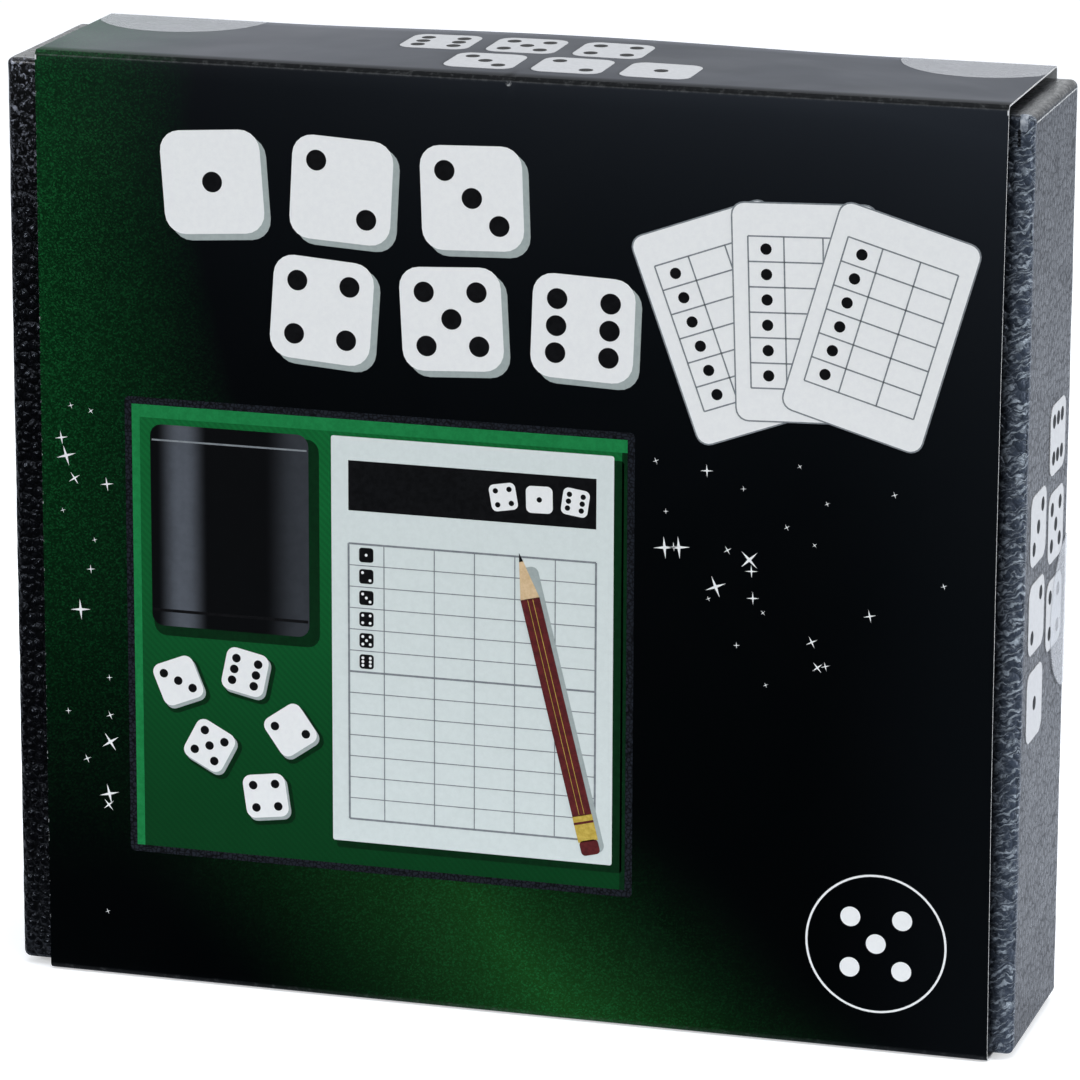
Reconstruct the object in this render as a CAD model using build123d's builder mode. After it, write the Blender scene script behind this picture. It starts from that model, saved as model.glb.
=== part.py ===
from build123d import *
from math import sqrt
import os

# Boxed dice game, standing upright as it is sold. A printed card sleeve, open at both ends,
# goes round a shallow leatherette tray whose open side faces the sleeve's front panel. The
# tray holds a score pad, a pencil, five dice, a shaker cup and a folded instruction leaflet.
# Millimetres. X runs right along the front panel, Y from the front panel to the back, Z up,
# with the origin on the ground under the middle of the pack.

os.makedirs("parts", exist_ok=True)

# Sizes of the contents
pad_width = 98.5
pad_height = 142.0
pad_backing_thickness = 1.0
pad_block_thickness = 5.6
pad_top_sheet_thickness = 0.2
pad_gum = 0.4
leaflet_width = 94.0
leaflet_height = 138.0
leaflet_leaf = 0.3
leaflet_slit = 0.2
die_size = 16.0
die_edge_radius = 2.2
dice_gap = 1.4
pip_pitch = 4.0
pip_sphere_radius = 1.9
pip_depth = 0.8
pip_paint = 0.15
pencil_flats = 7.0
pencil_sides = 6
pencil_length = 112.0
pencil_point_length = 16.0
pencil_blunt_radius = 0.3
lead_radius = 1.05
ferrule_length = 11.0
ferrule_wall = 0.4
ferrule_ring_width = 0.8
ferrule_ring_depth = 0.15
tenon_radius = 3.1
eraser_shown = 4.5
eraser_hidden = 4.5
eraser_edge_radius = 0.7
cup_width = 62.0
cup_depth = 29.4
cup_height = 71.0
cup_leather = 1.2
cup_core_wall = 1.8
cup_core_floor = 2.0
cup_felt = 0.8
cup_base_thickness = 2.4
cup_welt_groove = 0.5
cup_edge_radius = 0.5

# Thicknesses and edges of the tray
leather_skin = 0.6
wall_board_thickness = 5.0
floor_board_thickness = 2.5
felt = 0.8
rim_turn_in = 8.0
tray_edge_radius = 1.2

# Card and folds of the sleeve, and how much of the tray shows past its two ends
card = 0.6
fold_radius = 1.0
glue_flap_width = 14.0
sleeve_left_reveal = 5.9
sleeve_right_reveal = 4.1

# Clear round seals, each folded in half over a back edge
seal_radius = 15.0
seal_film = 0.12
left_seal_inset = 13.5
right_seal_inset = 11.0
side_seal_radius = 13.0
side_seal_height = 69.0
seal_slit = 0.3

# Gaps: glued faces, resting faces, loose pieces, and the sleeve round the tray
glue_line = 0.05
pip_clearance = 0.03
lead_clearance = 0.02
rest_gap = 0.2
side_gap = 0.6
pad_front_gap = 0.4
cup_back_gap = 0.4
pencil_lane_gap = 2.2
rim_gap = 0.7
headroom = 2.8
slack_below = 0.2
slack_above = 1.3
slack_front_and_back = 0.9
cut_overrun = 1.0

# Cavity of the tray, from the pieces that it holds
dice_count = 5
dice_row = dice_count * die_size + (dice_count - 1) * dice_gap
pencil_corners = 2 * pencil_flats / sqrt(3)
pencil_lane = pencil_corners + 2 * pencil_lane_gap
bay_width = max(pad_width, dice_row + pencil_lane)
cavity_width = side_gap + bay_width + side_gap + cup_width + side_gap
tallest_piece = max(pad_height + pad_gum, leaflet_height, pencil_length, cup_height)
cavity_height = rest_gap + tallest_piece + headroom
leaflet_thickness = 2 * leaflet_leaf + leaflet_slit
pad_thickness = pad_backing_thickness + pad_block_thickness + pad_top_sheet_thickness
bay_depth = rest_gap + leaflet_thickness + rest_gap + pad_thickness + pad_front_gap + die_size
cavity_depth = max(bay_depth, cup_back_gap + cup_depth) + rim_gap

# Tray round the cavity
board_inset = leather_skin + glue_line
board_face_inset = board_inset + wall_board_thickness
rim_width = board_face_inset + leather_skin
lining_inset = board_face_inset + felt
floor_inset = board_inset + floor_board_thickness + felt
tray_width = cavity_width + 2 * lining_inset
tray_height = cavity_height + 2 * lining_inset
tray_depth = cavity_depth + floor_inset
tray_right = tray_width / 2
tray_left = -tray_right
tray_back = tray_depth / 2
tray_front = -tray_back
tray_bottom = card + slack_below
tray_top = tray_bottom + tray_height
board_left = tray_left + board_inset
board_right = tray_right - board_inset
board_bottom = tray_bottom + board_inset
board_top = tray_top - board_inset
board_front = tray_front + board_inset
floor_board_front = tray_back - board_inset - floor_board_thickness
cavity_left = tray_left + lining_inset
cavity_right = tray_right - lining_inset
cavity_bottom = tray_bottom + lining_inset
cavity_back = tray_back - floor_inset

# Sleeve round the tray
sleeve_left = tray_left + sleeve_left_reveal
sleeve_right = tray_right - sleeve_right_reveal
sleeve_length = sleeve_right - sleeve_left
sleeve_depth = tray_depth + 2 * slack_front_and_back + 2 * card
sleeve_height = tray_top + slack_above + card
sleeve_back = sleeve_depth / 2
sleeve_front = -sleeve_back


def mitred_bands(low, high, bottom, top, depth):
    """Four trapezoids that share out a rectangular ring along its corner diagonals."""
    inner_low = low + depth
    inner_high = high - depth
    inner_bottom = bottom + depth
    inner_top = top - depth
    return {
        "low": [(low, bottom), (low, top), (inner_low, inner_top), (inner_low, inner_bottom)],
        "high": [(high, bottom), (high, top), (inner_high, inner_top), (inner_high, inner_bottom)],
        "bottom": [(low, bottom), (high, bottom), (inner_high, inner_bottom), (inner_low, inner_bottom)],
        "top": [(low, top), (high, top), (inner_high, inner_top), (inner_low, inner_top)],
    }


def upright_plane(y):
    """Plane parallel to the front panel, with its x along X and its y along Z."""
    return Plane.XZ.offset(-y)


def sleeve_wrap(inner_gap, thickness):
    """Square tube with rounded folds round the sleeve, a gap and a thickness outside it."""
    inner_depth = sleeve_depth + 2 * inner_gap
    inner_height = sleeve_height + 2 * inner_gap
    with BuildPart() as wrap:
        with BuildSketch(Plane.YZ.offset(sleeve_left)):
            with Locations((0, sleeve_height / 2)):
                RectangleRounded(
                    inner_depth + 2 * thickness,
                    inner_height + 2 * thickness,
                    fold_radius + inner_gap + thickness,
                )
                RectangleRounded(inner_depth, inner_height, fold_radius + inner_gap, mode=Mode.SUBTRACT)
        extrude(amount=sleeve_length)
    return wrap.part


def tray_block(inset):
    """Rounded block of the tray's outer form, drawn in by an inset on every side."""
    with BuildPart() as block:
        with Locations((0, 0, tray_bottom + tray_height / 2)):
            Box(tray_width - 2 * inset, tray_depth - 2 * inset, tray_height - 2 * inset)
        fillet(block.edges(), tray_edge_radius - inset)
    return block.part


# Sleeve: one folded card, split at its folds into four panels
sleeve_tube = sleeve_wrap(-card, card)
sleeve_sides = {"low": "front", "high": "back", "bottom": "bottom", "top": "top"}
sleeve_bands = mitred_bands(sleeve_front, sleeve_back, 0, sleeve_height, fold_radius)
for band, side in sleeve_sides.items():
    with BuildPart() as sleeve_panel:
        add(sleeve_tube)
        with BuildSketch(Plane.YZ.offset(sleeve_left)):
            with BuildLine():
                Polyline(*sleeve_bands[band], close=True)
            make_face()
        extrude(amount=sleeve_length, mode=Mode.INTERSECT)
    sleeve_panel.part.label = f"sleeve_{side}_panel"
    export_step(sleeve_panel.part, f"parts/sleeve_{side}_panel.step")

# Glue flap: turned in from the back panel and stuck under the top panel
with BuildPart() as sleeve_glue_flap:
    flap_back = sleeve_back - fold_radius
    with Locations((sleeve_left, flap_back, sleeve_height - card)):
        Box(sleeve_length, glue_flap_width, card, align=(Align.MIN, Align.MAX, Align.MAX))
sleeve_glue_flap.part.label = "sleeve_glue_flap"
export_step(sleeve_glue_flap.part, "parts/sleeve_glue_flap.step")

# Top seals: round films folded over the sleeve's top back edge, near its two ends
top_seal_places = {
    "seal_top_left": sleeve_left + left_seal_inset,
    "seal_top_right": sleeve_right - right_seal_inset,
}
for seal_name, seal_x in top_seal_places.items():
    with BuildPart() as folded_disc:
        with BuildSketch(Plane.XY.offset(sleeve_height - fold_radius)):
            with Locations((seal_x, sleeve_back)):
                Circle(seal_radius)
        extrude(amount=fold_radius + cut_overrun)
        with BuildSketch(upright_plane(sleeve_back - fold_radius)):
            with Locations((seal_x, sleeve_height)):
                Circle(seal_radius)
        extrude(amount=-(fold_radius + cut_overrun))
    with BuildPart() as top_seal:
        add(sleeve_wrap(glue_line, seal_film))
        add(folded_disc.part, mode=Mode.INTERSECT)
    top_seal.part.label = seal_name
    export_step(top_seal.part, f"parts/{seal_name}.step")

# Side seal: a film folded over the tray's right back edge, slit along the sleeve's end
with BuildPart() as side_disc:
    with BuildSketch(Plane.YZ.offset(tray_right - tray_edge_radius)):
        with Locations((tray_back, side_seal_height)):
            Circle(side_seal_radius)
    extrude(amount=tray_edge_radius + cut_overrun)
    with BuildSketch(upright_plane(tray_back - tray_edge_radius)):
        with Locations((tray_right, side_seal_height)):
            Circle(side_seal_radius)
    extrude(amount=-(tray_edge_radius + cut_overrun))

with BuildPart() as seal_side:
    with BuildSketch(Plane.XY.offset(side_seal_height - side_seal_radius)):
        film_inside = 2 * glue_line
        film_outside = 2 * (glue_line + seal_film)
        RectangleRounded(
            tray_width + film_outside,
            tray_depth + film_outside,
            tray_edge_radius + glue_line + seal_film,
        )
        RectangleRounded(
            tray_width + film_inside,
            tray_depth + film_inside,
            tray_edge_radius + glue_line,
            mode=Mode.SUBTRACT,
        )
    extrude(amount=2 * side_seal_radius)
    add(side_disc.part, mode=Mode.INTERSECT)
    split(bisect_by=Plane.YZ.offset(sleeve_right + seal_slit), keep=Keep.TOP)
seal_side.part.label = "seal_side"
export_step(seal_side.part, "parts/seal_side.step")

with BuildPart() as seal_side_back:
    with BuildSketch(upright_plane(sleeve_back + glue_line)):
        with Locations((tray_right, side_seal_height)):
            Circle(side_seal_radius)
        with Locations((sleeve_right, side_seal_height)):
            Rectangle(
                2 * side_seal_radius,
                2 * side_seal_radius,
                align=(Align.MAX, Align.CENTER),
                mode=Mode.INTERSECT,
            )
    extrude(amount=-seal_film)
seal_side_back.part.label = "seal_side_back"
export_step(seal_side_back.part, "parts/seal_side_back.step")

# Tray boards: a floor with four walls standing on it, the side walls between the other two
board_block = tray_block(board_inset)
wall_length = board_right - board_left
wall_depth = floor_board_front - board_front
inner_wall_height = board_top - board_bottom - 2 * wall_board_thickness
wall_middle = (board_bottom + board_top) / 2
half_board = wall_board_thickness / 2
wall_boards = {
    "wall_board_top": ((0, board_top - half_board), wall_length, wall_board_thickness),
    "wall_board_bottom": ((0, board_bottom + half_board), wall_length, wall_board_thickness),
    "wall_board_left": ((board_left + half_board, wall_middle), wall_board_thickness, inner_wall_height),
    "wall_board_right": ((board_right - half_board, wall_middle), wall_board_thickness, inner_wall_height),
}
for board_name, (board_centre, board_width, board_height) in wall_boards.items():
    with BuildPart() as wall_board:
        add(board_block)
        with BuildSketch(upright_plane(board_front)):
            with Locations(board_centre):
                Rectangle(board_width, board_height)
        extrude(amount=-wall_depth, mode=Mode.INTERSECT)
    wall_board.part.label = board_name
    export_step(wall_board.part, f"parts/{board_name}.step")

with BuildPart() as floor_board:
    add(board_block)
    split(bisect_by=upright_plane(floor_board_front), keep=Keep.BOTTOM)
floor_board.part.label = "floor_board"
export_step(floor_board.part, "parts/floor_board.step")

# Leatherette: a back sheet, and four flaps folded over the rim and down inside the walls
wrap_back_front = tray_back - leather_skin
board_face_width = tray_width - 2 * board_face_inset
board_face_height = tray_height - 2 * board_face_inset
mouth_width = tray_width - 2 * rim_width
mouth_height = tray_height - 2 * rim_width
tray_middle = tray_bottom + tray_height / 2
with BuildPart() as wrap_form:
    add(tray_block(0))
    add(board_block, mode=Mode.SUBTRACT)
    with BuildSketch(upright_plane(tray_front)):
        with Locations((0, tray_middle)):
            Rectangle(board_face_width, board_face_height)
    extrude(amount=-board_inset, mode=Mode.SUBTRACT)
    with BuildSketch(upright_plane(tray_front)):
        with Locations((0, tray_middle)):
            Rectangle(board_face_width, board_face_height)
            Rectangle(mouth_width, mouth_height, mode=Mode.SUBTRACT)
    extrude(amount=-rim_turn_in)

wrap_sides = {"low": "left", "high": "right", "bottom": "bottom", "top": "top"}
wrap_bands = mitred_bands(tray_left, tray_right, tray_bottom, tray_top, rim_width)
for band, side in wrap_sides.items():
    with BuildPart() as wrap_flap:
        add(wrap_form.part)
        with BuildSketch(upright_plane(tray_front)):
            with BuildLine():
                Polyline(*wrap_bands[band], close=True)
            make_face()
        extrude(amount=-(wrap_back_front - tray_front), mode=Mode.INTERSECT)
    wrap_flap.part.label = f"leatherette_{side}"
    export_step(wrap_flap.part, f"parts/leatherette_{side}.step")

with BuildPart() as leatherette_back:
    add(tray_block(0))
    split(bisect_by=upright_plane(wrap_back_front), keep=Keep.BOTTOM)
leatherette_back.part.label = "leatherette_back"
export_step(leatherette_back.part, "parts/leatherette_back.step")

# Felt lining: the floor sheet, then strips round the walls up to the turned-in leatherette
with BuildPart() as felt_floor:
    with BuildSketch(upright_plane(cavity_back)):
        with Locations((0, tray_middle)):
            Rectangle(board_face_width, board_face_height)
    extrude(amount=-felt)
felt_floor.part.label = "felt_floor"
export_step(felt_floor.part, "parts/felt_floor.step")

felt_strip_front = tray_front + rim_turn_in
felt_strip_width = cavity_back - felt_strip_front
felt_strips = {
    "felt_top": ((0, tray_middle + (cavity_height + felt) / 2), board_face_width, felt),
    "felt_bottom": ((0, tray_middle - (cavity_height + felt) / 2), board_face_width, felt),
    "felt_left": ((cavity_left - felt / 2, tray_middle), felt, cavity_height),
    "felt_right": ((cavity_right + felt / 2, tray_middle), felt, cavity_height),
}
for felt_name, (felt_centre, felt_width, felt_height) in felt_strips.items():
    with BuildPart() as felt_strip:
        with BuildSketch(upright_plane(felt_strip_front)):
            with Locations(felt_centre):
                Rectangle(felt_width, felt_height)
        extrude(amount=-felt_strip_width)
    felt_strip.part.label = felt_name
    export_step(felt_strip.part, f"parts/{felt_name}.step")

# Instruction leaflet: one sheet folded at its left edge, standing against the tray's floor
contents_bottom = cavity_bottom + rest_gap
contents_left = cavity_left + side_gap
leaflet_back = cavity_back - rest_gap
with BuildPart() as instruction_leaflet:
    with BuildSketch(Plane.XY.offset(contents_bottom)):
        with Locations((contents_left, leaflet_back)):
            Rectangle(leaflet_width, leaflet_thickness, align=(Align.MIN, Align.MAX))
        with Locations((contents_left + leaflet_leaf, leaflet_back - leaflet_leaf)):
            Rectangle(leaflet_width, leaflet_slit, align=(Align.MIN, Align.MAX), mode=Mode.SUBTRACT)
    extrude(amount=leaflet_height)
instruction_leaflet.part.label = "instruction_leaflet"
export_step(instruction_leaflet.part, "parts/instruction_leaflet.step")

# Score pad: a board backing, the block of sheets, the printed top sheet and a gummed head
pad_back = leaflet_back - leaflet_thickness - rest_gap
pad_layers = {
    "pad_backing": (pad_back, pad_backing_thickness),
    "pad_sheets": (pad_back - pad_backing_thickness, pad_block_thickness),
    "pad_top_sheet": (pad_back - pad_backing_thickness - pad_block_thickness, pad_top_sheet_thickness),
}
for layer_name, (layer_back, layer_thickness) in pad_layers.items():
    with BuildPart() as pad_layer:
        with Locations((contents_left, layer_back, contents_bottom)):
            Box(pad_width, layer_thickness, pad_height, align=(Align.MIN, Align.MAX, Align.MIN))
    pad_layer.part.label = layer_name
    export_step(pad_layer.part, f"parts/{layer_name}.step")

with BuildPart() as pad_gum_strip:
    with Locations((contents_left, pad_back, contents_bottom + pad_height)):
        Box(
            pad_width,
            pad_backing_thickness + pad_block_thickness,
            pad_gum,
            align=(Align.MIN, Align.MAX, Align.MIN),
        )
pad_gum_strip.part.label = "pad_gum_strip"
export_step(pad_gum_strip.part, "parts/pad_gum_strip.step")

# Dice: rounded cubes in a row in front of the pad, with dished pips, painted black
pip_shares = {
    1: [(0, 0)],
    2: [(-1, 1), (1, -1)],
    3: [(-1, 1), (0, 0), (1, -1)],
    4: [(-1, 1), (-1, -1), (1, 1), (1, -1)],
    5: [(-1, 1), (-1, -1), (0, 0), (1, 1), (1, -1)],
    6: [(-1, 1), (-1, 0), (-1, -1), (1, 1), (1, 0), (1, -1)],
}
# Each die's numbers to the front, to the right and on top; opposite faces add up to seven
dice_faces = [(5, 1, 3), (3, 6, 5), (2, 4, 6), (6, 5, 3), (1, 4, 2)]
opposite_sum = min(pip_shares) + max(pip_shares)
face_directions = [
    (Vector(0, -1, 0), Vector(1, 0, 0), Vector(0, 0, 1)),
    (Vector(1, 0, 0), Vector(0, 1, 0), Vector(0, 0, 1)),
    (Vector(0, 0, 1), Vector(1, 0, 0), Vector(0, 1, 0)),
]
pad_front = pad_back - pad_thickness
die_y = pad_front - pad_front_gap - die_size / 2
die_z = contents_bottom + die_size / 2
first_die_x = contents_left + die_size / 2
pip_sphere_offset = die_size / 2 + pip_sphere_radius - pip_depth


def pip_planes(die_centre, numbers):
    """Planes at the centres of the spheres that dish one die's pips, facing outwards."""
    planes = []
    for (outward, across, up), number in zip(face_directions, numbers):
        for sense, value in ((1, number), (-1, opposite_sum - number)):
            facing = outward * sense
            face_centre = die_centre + facing * pip_sphere_offset
            for across_share, up_share in pip_shares[value]:
                pip_offset = across * (across_share * pip_pitch) + up * (up_share * pip_pitch)
                planes.append(Plane(face_centre + pip_offset, x_dir=across, z_dir=facing))
    return planes


for die_index, numbers in enumerate(dice_faces):
    die_centre = Vector(first_die_x + die_index * (die_size + dice_gap), die_y, die_z)
    pips = pip_planes(die_centre, numbers)
    with BuildPart() as die:
        with Locations(die_centre):
            Box(die_size, die_size, die_size)
        fillet(die.edges(), die_edge_radius)
        with Locations(*pips):
            Sphere(pip_sphere_radius, mode=Mode.SUBTRACT)
    die.part.label = f"die_{die_index + 1}"
    export_step(die.part, f"parts/die_{die_index + 1}.step")

    with BuildPart() as die_pips:
        with Locations(*pips):
            Sphere(pip_sphere_radius - pip_clearance)
        with Locations(die_centre):
            Box(die_size, die_size, die_size, mode=Mode.INTERSECT)
        with Locations(*pips):
            Sphere(pip_sphere_radius - pip_clearance - pip_paint, mode=Mode.SUBTRACT)
    die_pips.part.label = f"die_{die_index + 1}_pips"
    export_step(die_pips.part, f"parts/die_{die_index + 1}_pips.step")

# Pencil: a six-sided barrel on end between the dice and the cup, point up
dice_right = contents_left + dice_row
cup_left = cavity_right - side_gap - cup_width
pencil_x = (dice_right + cup_left) / 2
pencil_y = pad_front - pad_front_gap - pencil_flats / 2
pencil_plane = Plane((pencil_x, pencil_y, contents_bottom))
pencil_side_plane = Plane((pencil_x, pencil_y, contents_bottom), x_dir=(1, 0, 0), z_dir=(0, -1, 0))
pencil_axis = Axis((pencil_x, pencil_y, contents_bottom), (0, 0, 1))
eraser_length = eraser_shown + eraser_hidden
ferrule_top = eraser_shown + ferrule_length
point_start = pencil_length - pencil_point_length
point_radius = pencil_corners / 2
point_slope = (point_radius - pencil_blunt_radius) / pencil_point_length
lead_bared = pencil_length - (lead_radius - pencil_blunt_radius) / point_slope

with BuildPart() as pencil_barrel:
    with BuildSketch(pencil_plane.offset(ferrule_top)):
        RegularPolygon(pencil_flats / 2, pencil_sides, major_radius=False)
    extrude(amount=pencil_length - ferrule_top)
    with BuildSketch(pencil_side_plane):
        with BuildLine():
            Polyline(
                (0, 0),
                (point_radius, 0),
                (point_radius, point_start),
                (pencil_blunt_radius, pencil_length),
                (0, pencil_length),
                close=True,
            )
        make_face()
    revolve(axis=pencil_axis, mode=Mode.INTERSECT)
    with BuildSketch(pencil_plane.offset(eraser_length)):
        Circle(tenon_radius)
    extrude(amount=ferrule_top - eraser_length)
    with BuildSketch(pencil_plane.offset(eraser_length)):
        Circle(lead_radius + lead_clearance)
    extrude(amount=pencil_length - eraser_length, mode=Mode.SUBTRACT)
pencil_barrel.part.label = "pencil_barrel"
export_step(pencil_barrel.part, "parts/pencil_barrel.step")

with BuildPart() as pencil_lead:
    with BuildSketch(pencil_side_plane):
        with BuildLine():
            Polyline(
                (0, eraser_length),
                (lead_radius, eraser_length),
                (lead_radius, lead_bared),
                (pencil_blunt_radius, pencil_length),
                (0, pencil_length),
                close=True,
            )
        make_face()
    revolve(axis=pencil_axis)
pencil_lead.part.label = "pencil_lead"
export_step(pencil_lead.part, "parts/pencil_lead.step")

ferrule_inner_radius = tenon_radius + lead_clearance
ferrule_radius = ferrule_inner_radius + ferrule_wall
ferrule_ring_shares = [0.18, 0.34, 0.66, 0.82]
with BuildPart() as pencil_ferrule:
    with BuildSketch(pencil_side_plane):
        with Locations((ferrule_inner_radius, eraser_shown)):
            Rectangle(ferrule_wall, ferrule_length, align=(Align.MIN, Align.MIN))
        for ring_share in ferrule_ring_shares:
            with Locations((ferrule_radius, eraser_shown + ring_share * ferrule_length)):
                Rectangle(
                    ferrule_ring_depth,
                    ferrule_ring_width,
                    align=(Align.MAX, Align.CENTER),
                    mode=Mode.SUBTRACT,
                )
    revolve(axis=pencil_axis)
pencil_ferrule.part.label = "pencil_ferrule"
export_step(pencil_ferrule.part, "parts/pencil_ferrule.step")

with BuildPart() as pencil_eraser:
    with BuildSketch(pencil_plane):
        Circle(tenon_radius)
    extrude(amount=eraser_length)
    fillet(pencil_eraser.edges().group_by(Axis.Z)[0], eraser_edge_radius)
pencil_eraser.part.label = "pencil_eraser"
export_step(pencil_eraser.part, "parts/pencil_eraser.step")

# Shaker cup: a stiff flattened core in a leather cover, on a leather base, lined with felt
cup_plane = Plane((cup_left + cup_width / 2, cavity_back - cup_back_gap - cup_depth / 2, contents_bottom))
core_inset = cup_leather + glue_line
core_face_inset = core_inset + cup_core_wall
cup_felt_inset = core_face_inset + glue_line
cup_mouth_inset = cup_felt_inset + cup_felt
cup_lip_bottom = cup_height - cup_leather
cup_floor_top = cup_base_thickness + cup_core_floor


def cup_outline(inset, mode=Mode.ADD):
    """The cup's flattened round outline, drawn in by an inset all round."""
    SlotOverall(cup_width - 2 * inset, cup_depth - 2 * inset, mode=mode)


with BuildPart() as cup_base:
    with BuildSketch(cup_plane):
        cup_outline(0)
    extrude(amount=cup_base_thickness)
    fillet(cup_base.edges().group_by(Axis.Z)[0], cup_edge_radius)
cup_base.part.label = "cup_base"
export_step(cup_base.part, "parts/cup_base.step")

with BuildPart() as cup_core:
    with BuildSketch(cup_plane.offset(cup_base_thickness)):
        cup_outline(core_inset)
    extrude(amount=cup_lip_bottom - cup_base_thickness)
    with BuildSketch(cup_plane.offset(cup_floor_top)):
        cup_outline(core_face_inset)
    extrude(amount=cup_height - cup_floor_top, mode=Mode.SUBTRACT)
cup_core.part.label = "cup_core"
export_step(cup_core.part, "parts/cup_core.step")

with BuildPart() as cup_cover:
    with BuildSketch(cup_plane.offset(cup_base_thickness + cup_welt_groove)):
        cup_outline(0)
        cup_outline(cup_leather, mode=Mode.SUBTRACT)
    extrude(amount=cup_lip_bottom - cup_base_thickness - cup_welt_groove)
    with BuildSketch(cup_plane.offset(cup_lip_bottom)):
        cup_outline(0)
        cup_outline(core_face_inset, mode=Mode.SUBTRACT)
    extrude(amount=cup_leather)
    fillet(cup_cover.edges().group_by(Axis.Z)[-1], cup_edge_radius)
cup_cover.part.label = "cup_cover"
export_step(cup_cover.part, "parts/cup_cover.step")

with BuildPart() as cup_lining:
    with BuildSketch(cup_plane.offset(cup_floor_top)):
        cup_outline(cup_felt_inset)
    extrude(amount=cup_lip_bottom - cup_floor_top)
    with BuildSketch(cup_plane.offset(cup_floor_top + cup_felt)):
        cup_outline(cup_mouth_inset)
    extrude(amount=cup_height - cup_floor_top, mode=Mode.SUBTRACT)
cup_lining.part.label = "cup_lining"
export_step(cup_lining.part, "parts/cup_lining.step")
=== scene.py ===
from math import cos, hypot, pi, radians, sin, sqrt
from random import Random

import bmesh
import bpy
from mathutils import Matrix, Vector, noise


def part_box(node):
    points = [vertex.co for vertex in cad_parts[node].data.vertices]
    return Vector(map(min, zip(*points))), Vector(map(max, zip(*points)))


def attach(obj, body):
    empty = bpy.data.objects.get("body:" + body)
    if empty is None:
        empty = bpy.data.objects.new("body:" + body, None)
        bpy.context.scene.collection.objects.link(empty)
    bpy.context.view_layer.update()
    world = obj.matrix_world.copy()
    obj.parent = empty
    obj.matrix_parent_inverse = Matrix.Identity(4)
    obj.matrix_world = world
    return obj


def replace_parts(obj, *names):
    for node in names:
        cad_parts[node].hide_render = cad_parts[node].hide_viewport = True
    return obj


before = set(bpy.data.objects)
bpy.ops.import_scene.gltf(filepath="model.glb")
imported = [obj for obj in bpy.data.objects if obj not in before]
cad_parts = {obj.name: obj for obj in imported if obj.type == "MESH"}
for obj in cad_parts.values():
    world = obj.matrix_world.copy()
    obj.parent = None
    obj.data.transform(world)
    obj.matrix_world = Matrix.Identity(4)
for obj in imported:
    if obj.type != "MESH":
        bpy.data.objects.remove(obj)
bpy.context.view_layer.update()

# Studio: the pack stands near the front edge of a plain white table, with a white backdrop behind it and a darker
# room in front. The table before the pack is dark to reflections. A broad soft lamp hangs overhead, one stands at the
# right and one in front to the left.
scene = bpy.context.scene
scene.view_settings.view_transform = "Standard"


def add(tree, kind, inputs=None, **settings):
    """One node, with its settings made, and each of its inputs set to a value or joined to a socket."""
    made = tree.nodes.new("ShaderNode" + kind)
    for key, value in settings.items():
        setattr(made, key, value)
    for key, value in (inputs or {}).items():
        if isinstance(value, bpy.types.NodeSocket):
            tree.links.new(value, made.inputs[key])
        else:
            made.inputs[key].default_value = value
    return made


def calc(operation, *values, clamp=False):
    """The output of one Math node, in the tree of the sockets that it joins."""
    tree = next(value.id_data for value in values if isinstance(value, bpy.types.NodeSocket))
    return add(tree, "Math", dict(enumerate(values)), operation=operation, use_clamp=clamp).outputs[0]


def times(*values):
    """The product of two or more values."""
    product = values[0]
    for value in values[1:]:
        product = calc("MULTIPLY", product, value)
    return product


def ramp(value, slope, start):
    """A value times a slope, plus a start."""
    return calc("MULTIPLY_ADD", value, slope, start)


def between(value, low, high, to_low=0.0, to_high=1.0, kind="SMOOTHSTEP"):
    """A value mapped from one range to another, and held at its ends."""
    places = {"Value": value, "From Min": low, "From Max": high, "To Min": to_low, "To Max": to_high}
    return add(value.id_data, "MapRange", places, interpolation_type=kind).outputs["Result"]


def apart(vector):
    """The three parts of a vector."""
    return add(vector.id_data, "SeparateXYZ", {0: vector}).outputs


def tones(share, first, second):
    """A colour between two colours."""
    return add(share.id_data, "Mix", {0: share, 6: first, 7: second}, data_type="RGBA").outputs[2]


def wire(socket, node, name):
    """Joins a socket to a named input of a node."""
    socket.id_data.links.new(socket, node.inputs[name])


room = bpy.data.worlds.new("white_room")
room.use_nodes = True
room.node_tree.nodes.clear()
seen_by = add(room.node_tree, "LightPath").outputs
facing = add(room.node_tree, "TexCoord").outputs["Generated"]
facing = add(room.node_tree, "VectorMath", {0: facing, 1: (0.15, 0.9, 0.4)}, operation="DOT_PRODUCT")
backdrop = between(facing.outputs["Value"], 0.0, 0.55, 0.01, 1.0)
room_level = 0.5
room_light = ramp(seen_by["Is Glossy Ray"], calc("SUBTRACT", backdrop, room_level), room_level)
room_light = calc("MAXIMUM", room_light, seen_by["Is Camera Ray"])
room_light = calc("MAXIMUM", room_light, seen_by["Is Transmission Ray"])
room_tone = tones(seen_by["Is Camera Ray"], (0.95, 0.975, 1.0, 1.0), (1.0, 1.0, 1.0, 1.0))
room_shell = add(room.node_tree, "Background", {"Color": room_tone, "Strength": room_light})
add(room.node_tree, "OutputWorld", {"Surface": room_shell.outputs[0]})
scene.world = room

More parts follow.
